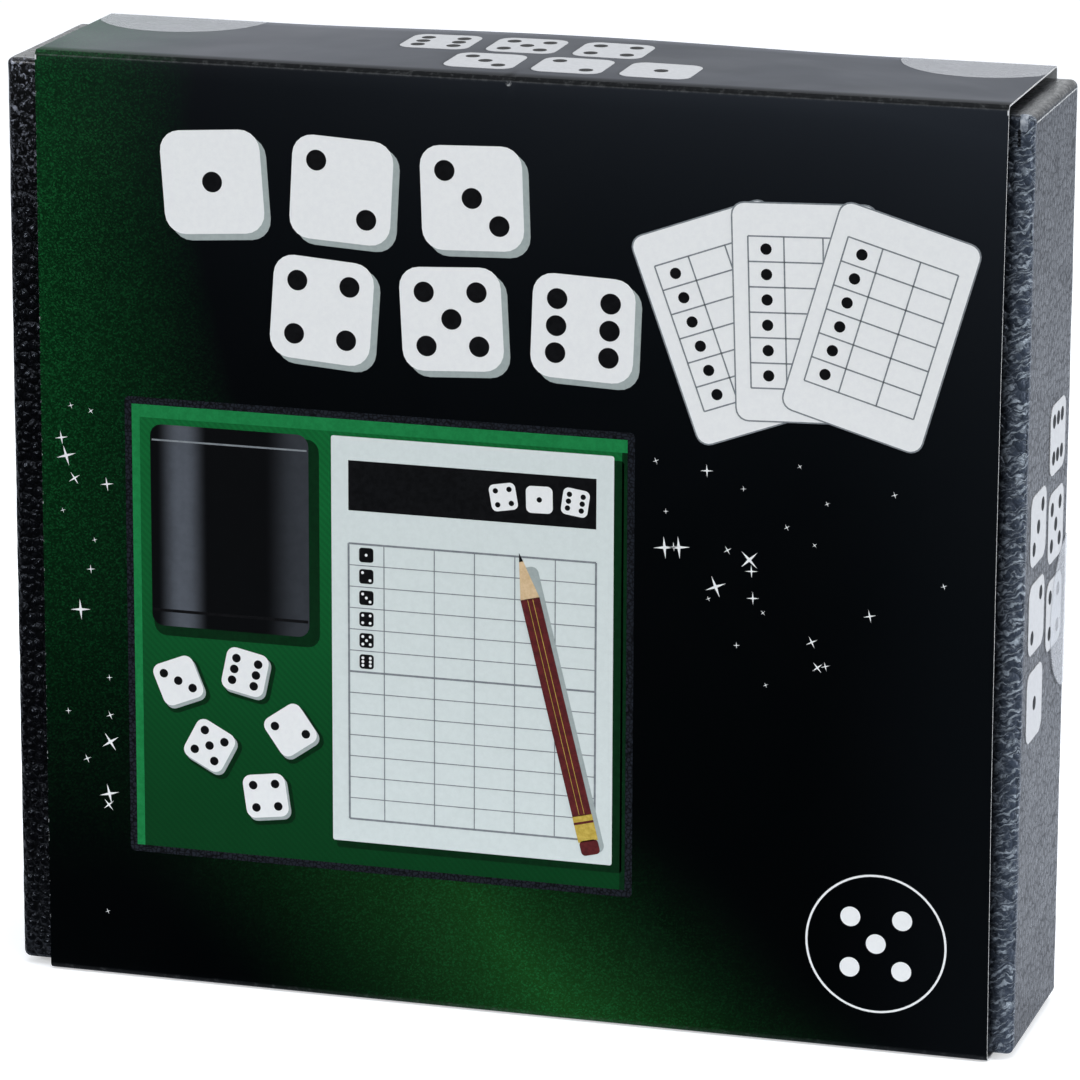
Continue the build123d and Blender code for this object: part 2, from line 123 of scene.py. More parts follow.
lamps = {
    "lamp_overhead": ((0.10, -0.20, 1.10), 0.85, 6.0),
    "lamp_right": ((1.15, -0.12, 0.45), 0.45, 9.0),
    "lamp_front_left": ((-0.75, -1.15, 0.70), 0.25, 7.0),
}
for lamp_name, (lamp_place, lamp_size, lamp_power) in lamps.items():
    lamp = bpy.data.lights.new(lamp_name, "AREA")
    lamp.size = lamp_size
    lamp.energy = lamp_power
    stand = bpy.data.objects.new(lamp_name, lamp)
    stand.location = lamp_place
    stand.rotation_euler = (Vector((0, 0, 0.08)) - Vector(lamp_place)).to_track_quat("-Z", "Y").to_euler()
    scene.collection.objects.link(stand)

table_top = bpy.data.meshes.new("studio_table")
table_top.from_pydata([(-3, -0.1, 0), (3, -0.1, 0), (3, 5, 0), (-3, 5, 0)], [], [(0, 1, 2, 3)])
table = bpy.data.objects.new("studio_table", table_top)
table.location.z = -0.0002
scene.collection.objects.link(table)
table_white = bpy.data.materials.new("table_white")
table_white.use_nodes = True
table_shader = table_white.node_tree.nodes["Principled BSDF"]
table_shader.inputs["Roughness"].default_value = 0.9
table_shader.inputs["Specular IOR Level"].default_value = 0.0
table_shader.inputs["Emission Color"].default_value = (1.0, 1.0, 1.0, 1.0)
table_seen = add(table_white.node_tree, "LightPath").outputs
wire(times(table_seen["Is Camera Ray"], 0.42), table_shader, "Emission Strength")
table_place = add(table_white.node_tree, "TexCoord").outputs["Object"]
table_front = calc("LESS_THAN", apart(table_place)["Y"], -0.02)
table_mirrored = tones(table_front, (0.79, 0.84, 0.94, 1.0), (0.01, 0.01, 0.01, 1.0))
wire(tones(table_seen["Is Glossy Ray"], (0.88, 0.91, 0.95, 1.0), table_mirrored), table_shader, "Base Color")
table_top.materials.append(table_white)

eye = bpy.data.cameras.new("camera")
eye.sensor_width = 36.0
eye.lens = 204.13
eye.clip_start = 0.01
camera = bpy.data.objects.new("camera", eye)
to_right = Vector((0.95887, 0.28383, 0.00333))
ahead = Vector((-0.27355, 0.92717, -0.25596))
upward = to_right.cross(ahead).normalized()
camera.matrix_world = Matrix.Translation((0.28323, -0.95797, 0.34263)) @ (
    Matrix((to_right, upward, -ahead)).transposed().to_4x4())
scene.collection.objects.link(camera)
scene.camera = camera

# Tray boards: a floor and four walls cut from thick grey-brown pulp board and glued into a shallow tray. They are
# hidden under leatherette and felt, and their cut faces show the fibres of the pulp.


def srgb(red, green, blue):
    """A colour measured in 0 to 255 display steps, as the shader takes it."""
    steps = [c / 255 for c in (red, green, blue)]
    return tuple(c / 12.92 if c <= 0.04045 else ((c + 0.055) / 1.055) ** 2.4 for c in steps) + (1.0,)


def new_finish(name, roughness, shine, constants=None):
    """A material with one Principled shader: the material, its shader and the place on the piece in millimetres."""
    finish = bpy.data.materials.new(name)
    finish.use_nodes = True
    tree = finish.node_tree
    shader = tree.nodes["Principled BSDF"]
    shader.inputs["Roughness"].default_value = roughness
    shader.inputs["Specular IOR Level"].default_value = shine
    for socket, value in (constants or {}).items():
        shader.inputs[socket].default_value = value
    spot = add(tree, "TexCoord").outputs["Object"]
    spot = add(tree, "VectorMath", {0: spot, "Scale": 1000.0}, operation="SCALE").outputs[0]
    return finish, shader, spot


def new_group(name, size, start, outputs):
    """A node group that takes a place and one size: the group, its inside inputs and its output node."""
    group = bpy.data.node_groups.new(name, "ShaderNodeTree")
    group.interface.new_socket("Place", in_out="INPUT", socket_type="NodeSocketVector")
    group.interface.new_socket(size, in_out="INPUT", socket_type="NodeSocketFloat").default_value = start
    for label in outputs:
        group.interface.new_socket(label, in_out="OUTPUT", socket_type="NodeSocketFloat")
    return group, group.nodes.new("NodeGroupInput").outputs, group.nodes.new("NodeGroupOutput")


def cloud(place, scale, detail=2.0, **more):
    """The value of a Noise Texture."""
    inputs = {"Vector": place, "Scale": scale, "Detail": detail, **more}
    return add(place.id_data, "TexNoise", inputs).outputs["Fac"]


def stretched(place, scale, rotation=(0.0, 0.0, 0.0)):
    """A place turned and then scaled along each axis, so that a texture runs one way."""
    return add(place.id_data, "Mapping", {"Vector": place, "Rotation": rotation, "Scale": scale}).outputs[0]


def use(group, place, **sizes):
    """The outputs of a node group, at a place and with its sizes set."""
    return add(place.id_data, "Group", {"Place": place, **sizes}, node_tree=group).outputs


def relief(shader, height, strength, distance_mm):
    """A Bump node on the shader's Normal."""
    sizes = {"Height": height, "Strength": strength, "Distance": distance_mm / 1000}
    wire(add(height.id_data, "Bump", sizes).outputs[0], shader, "Normal")


def fibrous(name, roughness, shine, group, fibre, dark, light, strength, distance_mm, constants=None):
    """A finish whose colour and relief follow a group of fibres of one size."""
    finish, shader, spot = new_finish(name, roughness, shine, constants)
    fibres = use(group, spot, Fibre=fibre)
    wire(tones(fibres["Tone"], srgb(*dark), srgb(*light)), shader, "Base Color")
    relief(shader, fibres["Height"], strength, distance_mm)
    return finish


def dress(finish, *nodes):
    """Puts a finish on pieces that keep their own shape."""
    for name in nodes:
        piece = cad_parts[name]
        if not piece.material_slots:
            piece.data.materials.append(finish)
        for place in piece.material_slots:
            place.material = finish


paper_fibre, fibre_in, fibre_out = new_group("paper_fibre", "Fibre", 1.0, ["Tone", "Height"])
fibre_scale = calc("DIVIDE", 1.0, fibre_in["Fibre"])
fibre_cloud = cloud(fibre_in["Place"], fibre_scale, 5.0, Roughness=0.65)
fibre_run = stretched(fibre_in["Place"], (0.25, 0.25, 1.0))
fibre_strands = cloud(fibre_run, times(fibre_scale, 3.0), 3.0, Distortion=1.5)
fibre_height = ramp(fibre_strands, 0.5, times(fibre_cloud, 0.5))
wire(between(fibre_cloud, 0.3, 0.7), fibre_out, "Tone")
wire(fibre_height, fibre_out, "Height")

pulp_board = fibrous("pulp_board", 0.9, 0.2, paper_fibre, 1.4, (122, 110, 94), (158, 146, 128), 0.6, 0.12)
dress(pulp_board, "floor_board", "wall_board_top", "wall_board_bottom", "wall_board_left", "wall_board_right")

# Leatherette cover: black paper with an embossed pebble grain, glued round the boards in one piece, turned over the
# rim and down inside the walls. It is pleated where its flaps meet at the corners, and puckers along the right edge.


def make_piece(name, shell, body, slot, *finishes):
    """Turns a closed shell into a piece that moves with a body and wears the finishes it is given; the slot is not
    used.
    """
    bmesh.ops.recalc_face_normals(shell, faces=shell.faces)
    mesh = bpy.data.meshes.new(name)
    shell.to_mesh(mesh)
    shell.free()
    for finish in finishes:
        mesh.materials.append(finish)
    mesh.shade_smooth()
    mesh.set_sharp_from_angle(angle=radians(35))
    piece = bpy.data.objects.new(name, mesh)
    scene.collection.objects.link(piece)
    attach(piece, body)
    return piece


def bridge(shell, rings, tone=0):
    """Joins each closed ring of points to the next with faces."""
    for ring, next_ring in zip(rings, rings[1:]):
        for k in range(len(ring)):
            m = (k + 1) % len(ring)
            shell.faces.new((ring[k], ring[m], next_ring[m], next_ring[k])).material_index = tone


def close_ends(shell, rings, tone=0):
    """Joins rings of points, and closes the first and the last of them."""
    for ring in (rings[0], rings[-1]):
        shell.faces.new(ring).material_index = tone
    bridge(shell, rings, tone)


def box_mm(node):
    """The lowest and highest corner of a node, in millimetres."""
    return tuple(Vector(corner) * 1000 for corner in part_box(node))


tray_low, tray_high = box_mm("leatherette_back")
tray_low.y = box_mm("leatherette_left")[0].y
edge_radius = 1.2
skin = 0.6
rim_width = 6.25
turn_in = 8.0
corner_steps = 5
ripple_height, ripple_length = 0.05, 7.0
pucker_right, pucker_elsewhere, pucker_reach = 0.16, 0.07, 4.2
pleat_depth = 0.22


def side_shares(length):
    """Places along one side of the tray, as shares, closer together near its ends."""
    near = [0.25, 0.6, 1.1, 1.9, 3.0]
    even = round((length - 2 * near[-1]) / 1.5)
    run = [near[-1] + (length - 2 * near[-1]) * k / even for k in range(1, even)]
    return [m / length for m in [0.0] + near + run + [length - m for m in reversed(near)] + [length]]


def tray_loop(inset):
    """Points round the tray at an inset from its outer faces: x, z, the way out and how near a corner."""
    radius = max(edge_radius - inset, 0.03)
    x0, x1 = tray_low.x + inset + radius, tray_high.x - inset - radius
    z0, z1 = tray_low.z + inset + radius, tray_high.z - inset - radius
    corners = [((x0, z0), (x1, z0), 270), ((x1, z0), (x1, z1), 0), ((x1, z1), (x0, z1), 90), ((x0, z1), (x0, z0), 180)]
    loop = []
    for (ax, az), (bx, bz), facing in corners:
        out = Vector((cos(radians(facing)), 0, sin(radians(facing))))
        shares = wide_shares if az == bz else tall_shares
        for share in shares:
            x, z = ax + (bx - ax) * share, az + (bz - az) * share
            loop.append((x + out.x * radius, z + out.z * radius, out, 0.0))
        for step in range(1, corner_steps):
            turn = radians(facing + 90 * step / corner_steps)
            way = Vector((cos(turn), 0, sin(turn)))
            loop.append((bx + way.x * radius, bz + way.z * radius, way, 1.0))
    return loop


wide_shares = side_shares(tray_high.x - tray_low.x - 2 * edge_radius)
tall_shares = side_shares(tray_high.z - tray_low.z - 2 * edge_radius)
back, front = tray_high.y, tray_low.y
quarter = [radians(90 * k / 6) for k in range(7)]
cover_line = [(d, back) for d in (60, 40, 25, 14, 8, 4, 2)]
cover_line += [(edge_radius * (1 - sin(a)), back - edge_radius * (1 - cos(a))) for a in quarter]
cover_line += [(0, back - edge_radius - (back - front - 2 * edge_radius) * k / 24) for k in range(1, 24)]
cover_line += [(edge_radius * (1 - cos(a)), front + edge_radius * (1 - sin(a))) for a in quarter]
cover_line += [(edge_radius + (rim_width - edge_radius - 0.5) * k / 8, front) for k in range(1, 8)]
cover_line += [(rim_width - 0.5 * (1 - sin(a)), front + 0.5 * (1 - cos(a))) for a in quarter]
cover_line += [(rim_width, front + y) for y in (1.2, 2.4, 4.0, 6.0, 7.4, turn_in)]
shown_points = len(cover_line)
cover_line += [(rim_width - skin, front + turn_in), (rim_width - skin, front + skin), (skin, front + skin)]
cover_line += [(skin, back - skin), (60, back - skin)]

cover = bmesh.new()
rings = []
for i, (inset, y) in enumerate(cover_line):
    before, after = cover_line[max(i - 1, 0)], cover_line[min(i + 1, len(cover_line) - 1)]
    along = Vector((after[0] - before[0], after[1] - before[1])).normalized()
    ring = []
    for x, z, out, corner in tray_loop(inset):
        place = Vector((x, y, z))
        if i < shown_points:
            normal = (-along.y * out + Vector((0, -along.x, 0))).normalized()
            lift = ripple_height * noise.noise(place / ripple_length)
            from_edge = hypot(inset, y - front)
            pucker = max(0.0, 1 - abs(from_edge - edge_radius) / pucker_reach)
            share = pucker_right if out.x > 0.7 else pucker_elsewhere
            slant = Vector(((z + 1.3 * (y - inset)) / 2.1, (z - 0.8 * (y - inset)) / 8.0, 3.7))
            lift += share * pucker * (0.35 - abs(noise.noise(slant)) * 2)
            if corner and inset > edge_radius:
                lift -= pleat_depth
            place += normal * lift
        ring.append(cover.verts.new(place / 1000))
    rings.append(ring)
close_ends(cover, rings)

leather_grain, grain_in, grain_out = new_group("leather_grain", "Pebble", 1.0, ["Height", "Crease", "Patch"])
grain_scale = calc("DIVIDE", 1.0, grain_in["Pebble"])
grain_stray = add(leather_grain, "TexNoise", {"Vector": grain_in["Place"], "Scale": times(grain_scale, 0.7)})
grain_place = add(leather_grain, "VectorMath",
                  {0: grain_stray.outputs["Color"], 1: (0.5, 0.5, 0.5), 2: grain_in["Place"]},
                  operation="MULTIPLY_ADD").outputs[0]


def cells(scale, feature, **more):
    """The distances of a Voronoi Texture of the grain."""
    places = {"Vector": grain_place, "Scale": scale, **more}
    return add(leather_grain, "TexVoronoi", places, feature=feature).outputs["Distance"]


pebbles = calc("POWER", cells(grain_scale, "SMOOTH_F1", Smoothness=0.3), 2.0)
fine_pebbles = calc("POWER", cells(times(grain_scale, 2.3), "SMOOTH_F1", Smoothness=0.3), 2.0)
creases = cells(grain_scale, "DISTANCE_TO_EDGE")
patches = cloud(grain_in["Place"], 0.06, 3.0)
grain_crease = between(creases, 0.0, 0.2, 1.0, 0.0)
grain_dome = ramp(grain_crease, -0.12, times(pebbles, -1.3))
grain_dome = ramp(fine_pebbles, -0.28, grain_dome)
wire(grain_dome, grain_out, "Height")
wire(grain_crease, grain_out, "Crease")
wire(between(patches, 0.35, 0.65), grain_out, "Patch")


def away(value, middle):
    """How far a value lies from a middle."""
    return calc("ABSOLUTE", calc("SUBTRACT", value, middle))


leatherette, shader, spot = new_finish(
    "black_leatherette", 0.3, 0.3, {"Specular Tint": (0.74, 0.83, 1.0, 1.0), "Coat Roughness": 0.3})
axis = apart(spot)
grain = use(leather_grain, spot, Pebble=1.5)
face_way = apart(add(leatherette.node_tree, "TexCoord").outputs["Normal"])
on_rim = between(calc("ABSOLUTE", face_way["Y"]), 0.3, 0.8)
near_front = between(axis["Y"], front + 0.3, front + 2.2, 1.0, 0.0)
# The right rim is painted lighter from next to the sleeve out to its edge: painted shade beside the sleeve and painted
# light from the right.
right_rim_painted_light = times(between(axis["X"], tray_high.x - 5.0, tray_high.x - 0.6), near_front)
crinkle_stray = cloud(spot, 0.55)
crinkle_run = ramp(crinkle_stray, 3.0, ramp(axis["X"], -0.4, axis["Z"]))
crinkle_run = add(leatherette.node_tree, "CombineXYZ", {0: times(axis["X"], 0.25), 2: crinkle_run})
crinkles = cloud(crinkle_run.outputs[0], 1.6, Roughness=0.55)
# The crinkle ridges are raised in the relief and also painted pale: painted highlights on the ridges.
crinkle_ridge_and_highlight = times(between(crinkles, 0.47, 0.65), right_rim_painted_light)
on_left_rim = times(between(axis["X"], tray_low.x + 6.5, tray_low.x + 9.0, 1.0, 0.0), near_front)
# Near the top of the left rim, pale patches are painted on the grain: painted glints, stronger towards the top. The
# same height fade also raises the coat there.
toward_top = between(axis["Z"], tray_high.z - 42.0, tray_high.z, kind="LINEAR")
on_left_rim = times(on_left_rim, calc("POWER", toward_top, 2.0))
painted_glints = cloud(spot, 1.5, Roughness=0.5, Distortion=0.5)
painted_glints = times(between(painted_glints, 0.53, 0.72), on_left_rim)
# A dark slit is painted at the top of the right rim: painted shade of a cut in the cover.
slit_x = away(axis["X"], tray_high.x - 2.5)
slit_z = away(axis["Z"], tray_high.z - 3.7)
slit_shade = times(between(slit_x, 0.15, 0.4, 1.0, 0.0), between(slit_z, 1.2, 1.8, 1.0, 0.0))
slit_shade = times(slit_shade, on_rim)
# The grain's creases are painted darker than its pebbles: painted shade in the creases.
cover_tone_and_painted_light = tones(grain["Patch"], srgb(5, 5, 8), srgb(8, 9, 12))
cover_tone_and_painted_light = tones(grain["Crease"], cover_tone_and_painted_light, srgb(2, 2, 3))
cover_tone_and_painted_light = tones(right_rim_painted_light, cover_tone_and_painted_light, srgb(57, 65, 78))
cover_tone_and_painted_light = tones(crinkle_ridge_and_highlight, cover_tone_and_painted_light, srgb(150, 160, 171))
cover_tone_and_painted_light = tones(painted_glints, cover_tone_and_painted_light, srgb(150, 155, 170))
wire(tones(slit_shade, cover_tone_and_painted_light, srgb(6, 7, 10)), shader, "Base Color")
wire(ramp(grain["Crease"], 0.2, 0.25), shader, "Roughness")
streaks = cloud(stretched(spot, (1.0, 0.2, 1.0), (-0.31, 0.0, 0.0)), 0.7, 3.0, Distortion=0.6)
crease_line = between(away(streaks, 0.5), 0.0, 0.03, 0.2, 0.0)
wall_gloss = calc("ADD", crease_line, between(streaks, 0.3, 0.7, 0.06, 0.31))
wall_gloss = ramp(between(face_way["Z"], 0.6, 0.95), 0.32, wall_gloss)
wall_gloss = times(calc("SUBTRACT", 1.0, on_rim), wall_gloss)
wire(ramp(on_left_rim, 0.9, wall_gloss), shader, "Coat Weight")
flat_share = between(on_rim, 0.0, 1.0, 0.1, 1.0, "LINEAR")
grain_height = ramp(crinkle_ridge_and_highlight, 0.6, times(grain["Height"], flat_share))
relief(shader, grain_height, 1.0, 0.6)
leather_cover = make_piece("leatherette_cover", cover, "tray", "leatherette", leatherette)
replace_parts(leather_cover, "leatherette_back", "leatherette_top", "leatherette_bottom", "leatherette_left",
            "leatherette_right")

# Cut edge of the leatherette: where the top flap laps over the right side, the pale paper backing shows as a thin
# line along the edge, and as a small tab at the front corner.
cut_edge = bmesh.new()
rings = []
edge_steps = 44
for k in range(edge_steps + 1):
    y = front + 1.6 + (back - front - 3.0) * k / edge_steps
    sway = 0.10 * noise.noise((0.0, y / 5.0, 8.0))
    x, z = tray_high.x, tray_high.z - edge_radius - 0.1 + sway
    width = 0.10 + 0.05 * noise.noise((4.0, y / 2.0, 1.0))
    rings.append([cut_edge.verts.new(Vector(p) / 1000) for p in (
        (x - 0.10, y, z - width), (x + 0.06, y, z - width), (x + 0.05, y, z + width), (x - 0.10, y, z + width))])
close_ends(cut_edge, rings)
backing_paper = fibrous("leatherette_backing", 0.8, 0.2, paper_fibre, 0.5, (120, 124, 130), (205, 207, 208), 0.5, 0.05)
make_piece("leatherette_cut_edge", cut_edge, "tray", "leatherette", backing_paper)

tab = bmesh.new()
tab_line = [(front, tray_high.z - drop, 0.0) for drop in (2.6, 2.2, 1.8, 1.5)]
for a in map(radians, (0, 15, 30, 45, 60, 70)):
    tab_line.append((front + edge_radius * (1 - cos(a)), tray_high.z - edge_radius * (1 - sin(a)), a))
rings = []
for k, (y, z, a) in enumerate(tab_line):
    out = Vector((0, -cos(a), sin(a)))
    half = 0.38 if k == 0 else 0.62
    tab_section = ((-half, -0.15), (half, -0.15), (half, 0.10), (half - 0.2, 0.2), (-half + 0.2, 0.2), (-half, 0.10))
    rings.append([tab.verts.new((Vector((tray_high.x - 1.75 + x, y, z)) + out * lift) / 1000)
                  for x, lift in tab_section])
close_ends(tab, rings)
tab_skin = fibrous("leatherette_tab", 0.4, 0.3, paper_fibre, 0.9, (92, 100, 112), (168, 174, 182), 0.5, 0.1)
make_piece("leatherette_corner_tab", tab, "tray", "leatherette", tab_skin)

# Felt lining: thin green wool felt with a fine rib, cut into a floor sheet and four strips and glued flat to the
# boards, its strips meeting the leatherette that is turned in over the rim.
felt_cell = 2.2
felt_dip, felt_dip_length = 0.06, 2.3


def felt_piece(name, node):
    """A thin felt slab in a node's place, in small cells, with a soft uneven surface."""
    low, high = box_mm(node)
    size = high - low
    counts = [max(1, round(size[a] / felt_cell)) for a in range(3)]
    slab = bmesh.new()
    made = {}

    def corner(key):
        if key not in made:
            share = Vector([key[a] / counts[a] for a in range(3)])
            place = Vector([low[a] + size[a] * share[a] for a in range(3)])
            thin = min(range(3), key=lambda a: size[a])
            place[thin] += felt_dip * (1 - 2 * share[thin]) * (1 + noise.noise(place / felt_dip_length))
            made[key] = slab.verts.new(place / 1000)
        return made[key]

    for axis in range(3):
        u, v = [a for a in range(3) if a != axis]
        for side in (0, counts[axis]):
            for i in range(counts[u]):
                for j in range(counts[v]):
                    quad = []
                    for di, dj in ((0, 0), (1, 0), (1, 1), (0, 1)):
                        key = [0, 0, 0]
                        key[axis], key[u], key[v] = side, i + di, j + dj
                        quad.append(corner(tuple(key)))
                    slab.faces.new(quad)
    piece = make_piece(name, slab, "tray", "green_felt", green_felt)
    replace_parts(piece, node)
    return piece


felt_fuzz, fuzz_in, fuzz_out = new_group("felt_fuzz", "Fibre", 0.3, ["Tone", "Height"])
fuzz_scale = calc("DIVIDE", 1.0, fuzz_in["Fibre"])
fuzz_fine = cloud(fuzz_in["Place"], fuzz_scale, 4.0, Roughness=0.7, Distortion=2.0)
fuzz_broad = cloud(fuzz_in["Place"], times(fuzz_scale, 0.06))
fuzz_tone = ramp(fuzz_broad, 0.25, times(fuzz_fine, 0.75))
wire(between(fuzz_tone, 0.3, 0.7), fuzz_out, "Tone")
wire(fuzz_fine, fuzz_out, "Height")

green_felt, shader, spot = new_finish(
    "green_felt", 0.95, 0.1, {"Sheen Weight": 0.3, "Sheen Tint": (0.35, 0.8, 0.45, 1.0)})
fuzz = use(felt_fuzz, spot, Fibre=0.28)
rib = add(green_felt.node_tree, "TexWave", {"Vector": spot, "Scale": 0.35, "Distortion": 0.6, "Detail": 1.0},
          bands_direction="DIAGONAL")
felt_tone = tones(fuzz["Tone"], srgb(2, 74, 33), srgb(14, 108, 52))
wire(tones(times(rib.outputs["Fac"], 0.35), felt_tone, srgb(1, 52, 22)), shader, "Base Color")
relief(shader, ramp(rib.outputs["Fac"], -0.4, fuzz["Height"]), 0.8, 0.25)
felt_cuts = {
    "floor": ((0.1639, 0.1470), "floor_board"),
    "top": ((0.1639, 0.0225), "wall_board_top"),
    "bottom": ((0.1639, 0.0225), "wall_board_bottom"),
    "left": ((0.1454, 0.0225), "wall_board_left"),
    "right": ((0.1454, 0.0225), "wall_board_right"),
}
for side, (cut, board) in felt_cuts.items():
    lining = felt_piece(f"felt_lining_{side}", f"felt_{side}")

# Instruction leaflet: one sheet of thin white paper folded once, standing behind the pad against the tray's floor.
# Plain grey rules stand for its lines of print.
leaflet_paper, shader, spot = new_finish("leaflet_paper", 0.75, 0.3)
fibre = use(paper_fibre, spot, Fibre=0.6)
axis = apart(spot)
sheet_white = tones(fibre["Tone"], srgb(226, 226, 221), srgb(240, 240, 236))
row = calc("PINGPONG", axis["Z"], 2.1)
rule = between(row, 0.45, 0.6, 1.0, 0.0)
words = between(cloud(spot, 0.5), 0.42, 0.5)
across = times(between(axis["X"], -74.0, -73.6), between(axis["X"], 6.0, 6.4, 1.0, 0.0))
rule = times(rule, words, across)
wire(tones(times(rule, 0.7), sheet_white, srgb(120, 122, 126)), shader, "Base Color")
relief(shader, fibre["Height"], 0.25, 0.05)
dress(leaflet_paper, "instruction_leaflet")

# Score pad: a block of thin white sheets on a grey board, gummed along its head. The top sheet is printed with a
# plain table: a dark head band, a column of die faces and empty squares to fill in.
pad_paper, shader, spot = new_finish("pad_paper", 0.7, 0.3)
fibre = use(paper_fibre, spot, Fibre=0.5)
leaves = cloud(stretched(spot, (0.02, 9.0, 0.02)), 1.0, 1.0)
sheet_edge = tones(between(leaves, 0.35, 0.6), srgb(196, 197, 194), srgb(238, 239, 236))
wire(tones(times(fibre["Tone"], 0.25), sheet_edge, srgb(228, 229, 225)), shader, "Base Color")
relief(shader, leaves, 0.5, 0.1)
dress(pad_paper, "pad_sheets")

top_paper = fibrous("pad_top_paper", 0.65, 0.3, paper_fibre, 0.7, (226, 229, 228), (240, 242, 240), 0.2, 0.05)
dress(top_paper, "pad_top_sheet")

grey_board = fibrous("pad_grey_board", 0.9, 0.2, paper_fibre, 0.9, (138, 135, 128), (172, 168, 160), 0.5, 0.08)
dress(grey_board, "pad_backing")

pad_gum = fibrous("pad_gum", 0.4, 0.45, paper_fibre, 2.5, (214, 212, 200), (232, 230, 222), 0.6, 0.2)
dress(pad_gum, "pad_gum_strip")

ink_step = 0.018
ink_sink = 0.02


def lay_ink(ink, outline, surface, level, tone):
    """Adds one flat printed shape, closed all round: its outline in x and z, mm, on a face that looks forward."""
    close_ends(ink, [[ink.verts.new((x / 1000, y / 1000, z / 1000)) for x, z in outline]
                     for y in (surface - ink_step * level, surface + ink_sink)], tone)


def turned(points, x, z, degrees=0.0):
    """An outline turned about its own middle and moved to a place."""
    c, s = cos(radians(degrees)), sin(radians(degrees))
    return [(x + px * c - pz * s, z + px * s + pz * c) for px, pz in points]


def oblong(width, height, radius=0.0):
    """A rectangle round the middle, with rounded corners if a radius is given."""
    half_w, half_h = width / 2, height / 2
    if radius == 0:
        return [(-half_w, -half_h), (half_w, -half_h), (half_w, half_h), (-half_w, half_h)]
    points = []
    for cx, cz, facing in ((1, -1, 270), (1, 1, 0), (-1, 1, 90), (-1, -1, 180)):
        for k in range(corner_steps + 1):
            turn = radians(facing + 90 * k / corner_steps)
            points.append((cx * (half_w - radius) + radius * cos(turn), cz * (half_h - radius) + radius * sin(turn)))
    return points


def round_spot(radius, steps=24):
    """A disc round the middle."""
    return [(radius * cos(2 * pi * k / steps), radius * sin(2 * pi * k / steps)) for k in range(steps)]


pip_places = {
    1: [(0, 0)],
    2: [(-1, 1), (1, -1)],
    3: [(-1, 1), (0, 0), (1, -1)],
    4: [(-1, 1), (-1, -1), (1, 1), (1, -1)],
    5: [(-1, 1), (-1, -1), (0, 0), (1, 1), (1, -1)],
    6: [(-1, 1), (-1, 0), (-1, -1), (1, 1), (1, 0), (1, -1)],
}


def lay_die_face(ink, number, x, z, size, surface, level, tone_face, tone_pip, degrees=0.0):
    """A printed die face: a rounded square with its pips on it."""
    lay_ink(ink, turned(oblong(size, size, size * 0.2), x, z, degrees), surface, level, tone_face)
    pips = [(px * size * 0.26, pz * size * 0.26) for px, pz in pip_places[number]]
    for pip_x, pip_z in turned(pips, x, z, degrees):
        lay_ink(ink, turned(round_spot(size * 0.1), pip_x, pip_z), surface, level + 1, tone_pip)


def new_ink(name, dark, light):
    """Printing ink on card or paper, slightly uneven in tone."""
    return fibrous(name, 0.5, 0.1, paper_fibre, 0.8, dark, light, 0.1, 0.004)


ink_black = new_ink("ink_black", (9, 10, 13), (18, 19, 22))
ink_white = new_ink("ink_white", (224, 226, 228), (228, 230, 231))
ink_grey = new_ink("ink_grey", (112, 118, 124), (130, 136, 141))
pad_low, pad_high = box_mm("pad_top_sheet")
pad_face = pad_low.y
table_ink = bmesh.new()
PAD_BLACK, PAD_WHITE, PAD_GREY = range(3)
table_left, table_right = pad_low.x + 6, pad_high.x - 6
table_middle, table_width = (table_left + table_right) / 2, table_right - table_left
table_top_z, row_height, row_count = pad_high.z - 34, 6.4, 15
table_height = row_height * row_count
band_z = pad_high.z - 16.5
label_x = table_left + 6.5


def lay_on_pad(width, height, x, z, level, tone):
    """One printed bar of the pad's top sheet."""
    lay_ink(table_ink, turned(oblong(width, height), x, z), pad_face, level, tone)


lay_on_pad(table_width, 15, table_middle, band_z, 1, PAD_BLACK)
for k, number in enumerate((2, 5, 3)):
    lay_die_face(table_ink, number, table_right - 40 + 13 * k, band_z, 8.5, pad_face, 2, PAD_WHITE, PAD_BLACK,
                 14 - 11 * k)
lay_on_pad(46, 0.35, table_left + 34, pad_high.z - 29, 1, PAD_GREY)
for k in range(row_count + 1):
    rule_width = 0.5 if k in (0, 7, row_count) else 0.22
    lay_on_pad(table_width, rule_width, table_middle, table_top_z - row_height * k, 1, PAD_GREY)
columns = [0, 13, 31] + [31 + (table_width - 31) * k / 5 for k in range(1, 6)]
for k, column in enumerate(columns):
    rule_width = 0.45 if k in (0, 7) else 0.22
    lay_on_pad(rule_width, table_height, table_left + column, table_top_z - table_height / 2, 2, PAD_GREY)
for k in range(6):
    row_z = table_top_z - row_height * (k + 0.5)
    lay_die_face(table_ink, k + 1, label_x, row_z, 4.4, pad_face, 1, PAD_BLACK, PAD_WHITE)
for k in range(8, row_count):
    lay_on_pad(8 - (k * 5) % 4, 0.9, label_x, table_top_z - row_height * (k + 0.5), 1, PAD_BLACK)
make_piece("pad_printed_table", table_ink, "score_pad", "pad_paper", ink_black, ink_white, ink_grey)

# Pencil: a six-sided wooden pencil lacquered maroon, sharpened to a bare wood cone, with a graphite lead. A rolled
# brass ferrule crimped round its end holds a short eraser.
handling, handling_in, handling_out = new_group("handling_marks", "Reach", 8.0, ["Smudge", "Scratch"])
smudges = cloud(handling_in["Place"], calc("DIVIDE", 1.0, handling_in["Reach"]), 4.0, Distortion=0.8)
scratches = cloud(stretched(handling_in["Place"], (4.0, 0.15, 0.4), (0.4, 0.7, 0.3)), 1.2)
wire(between(smudges, 0.3, 0.7), handling_out, "Smudge")
wire(between(scratches, 0.66, 0.74), handling_out, "Scratch")


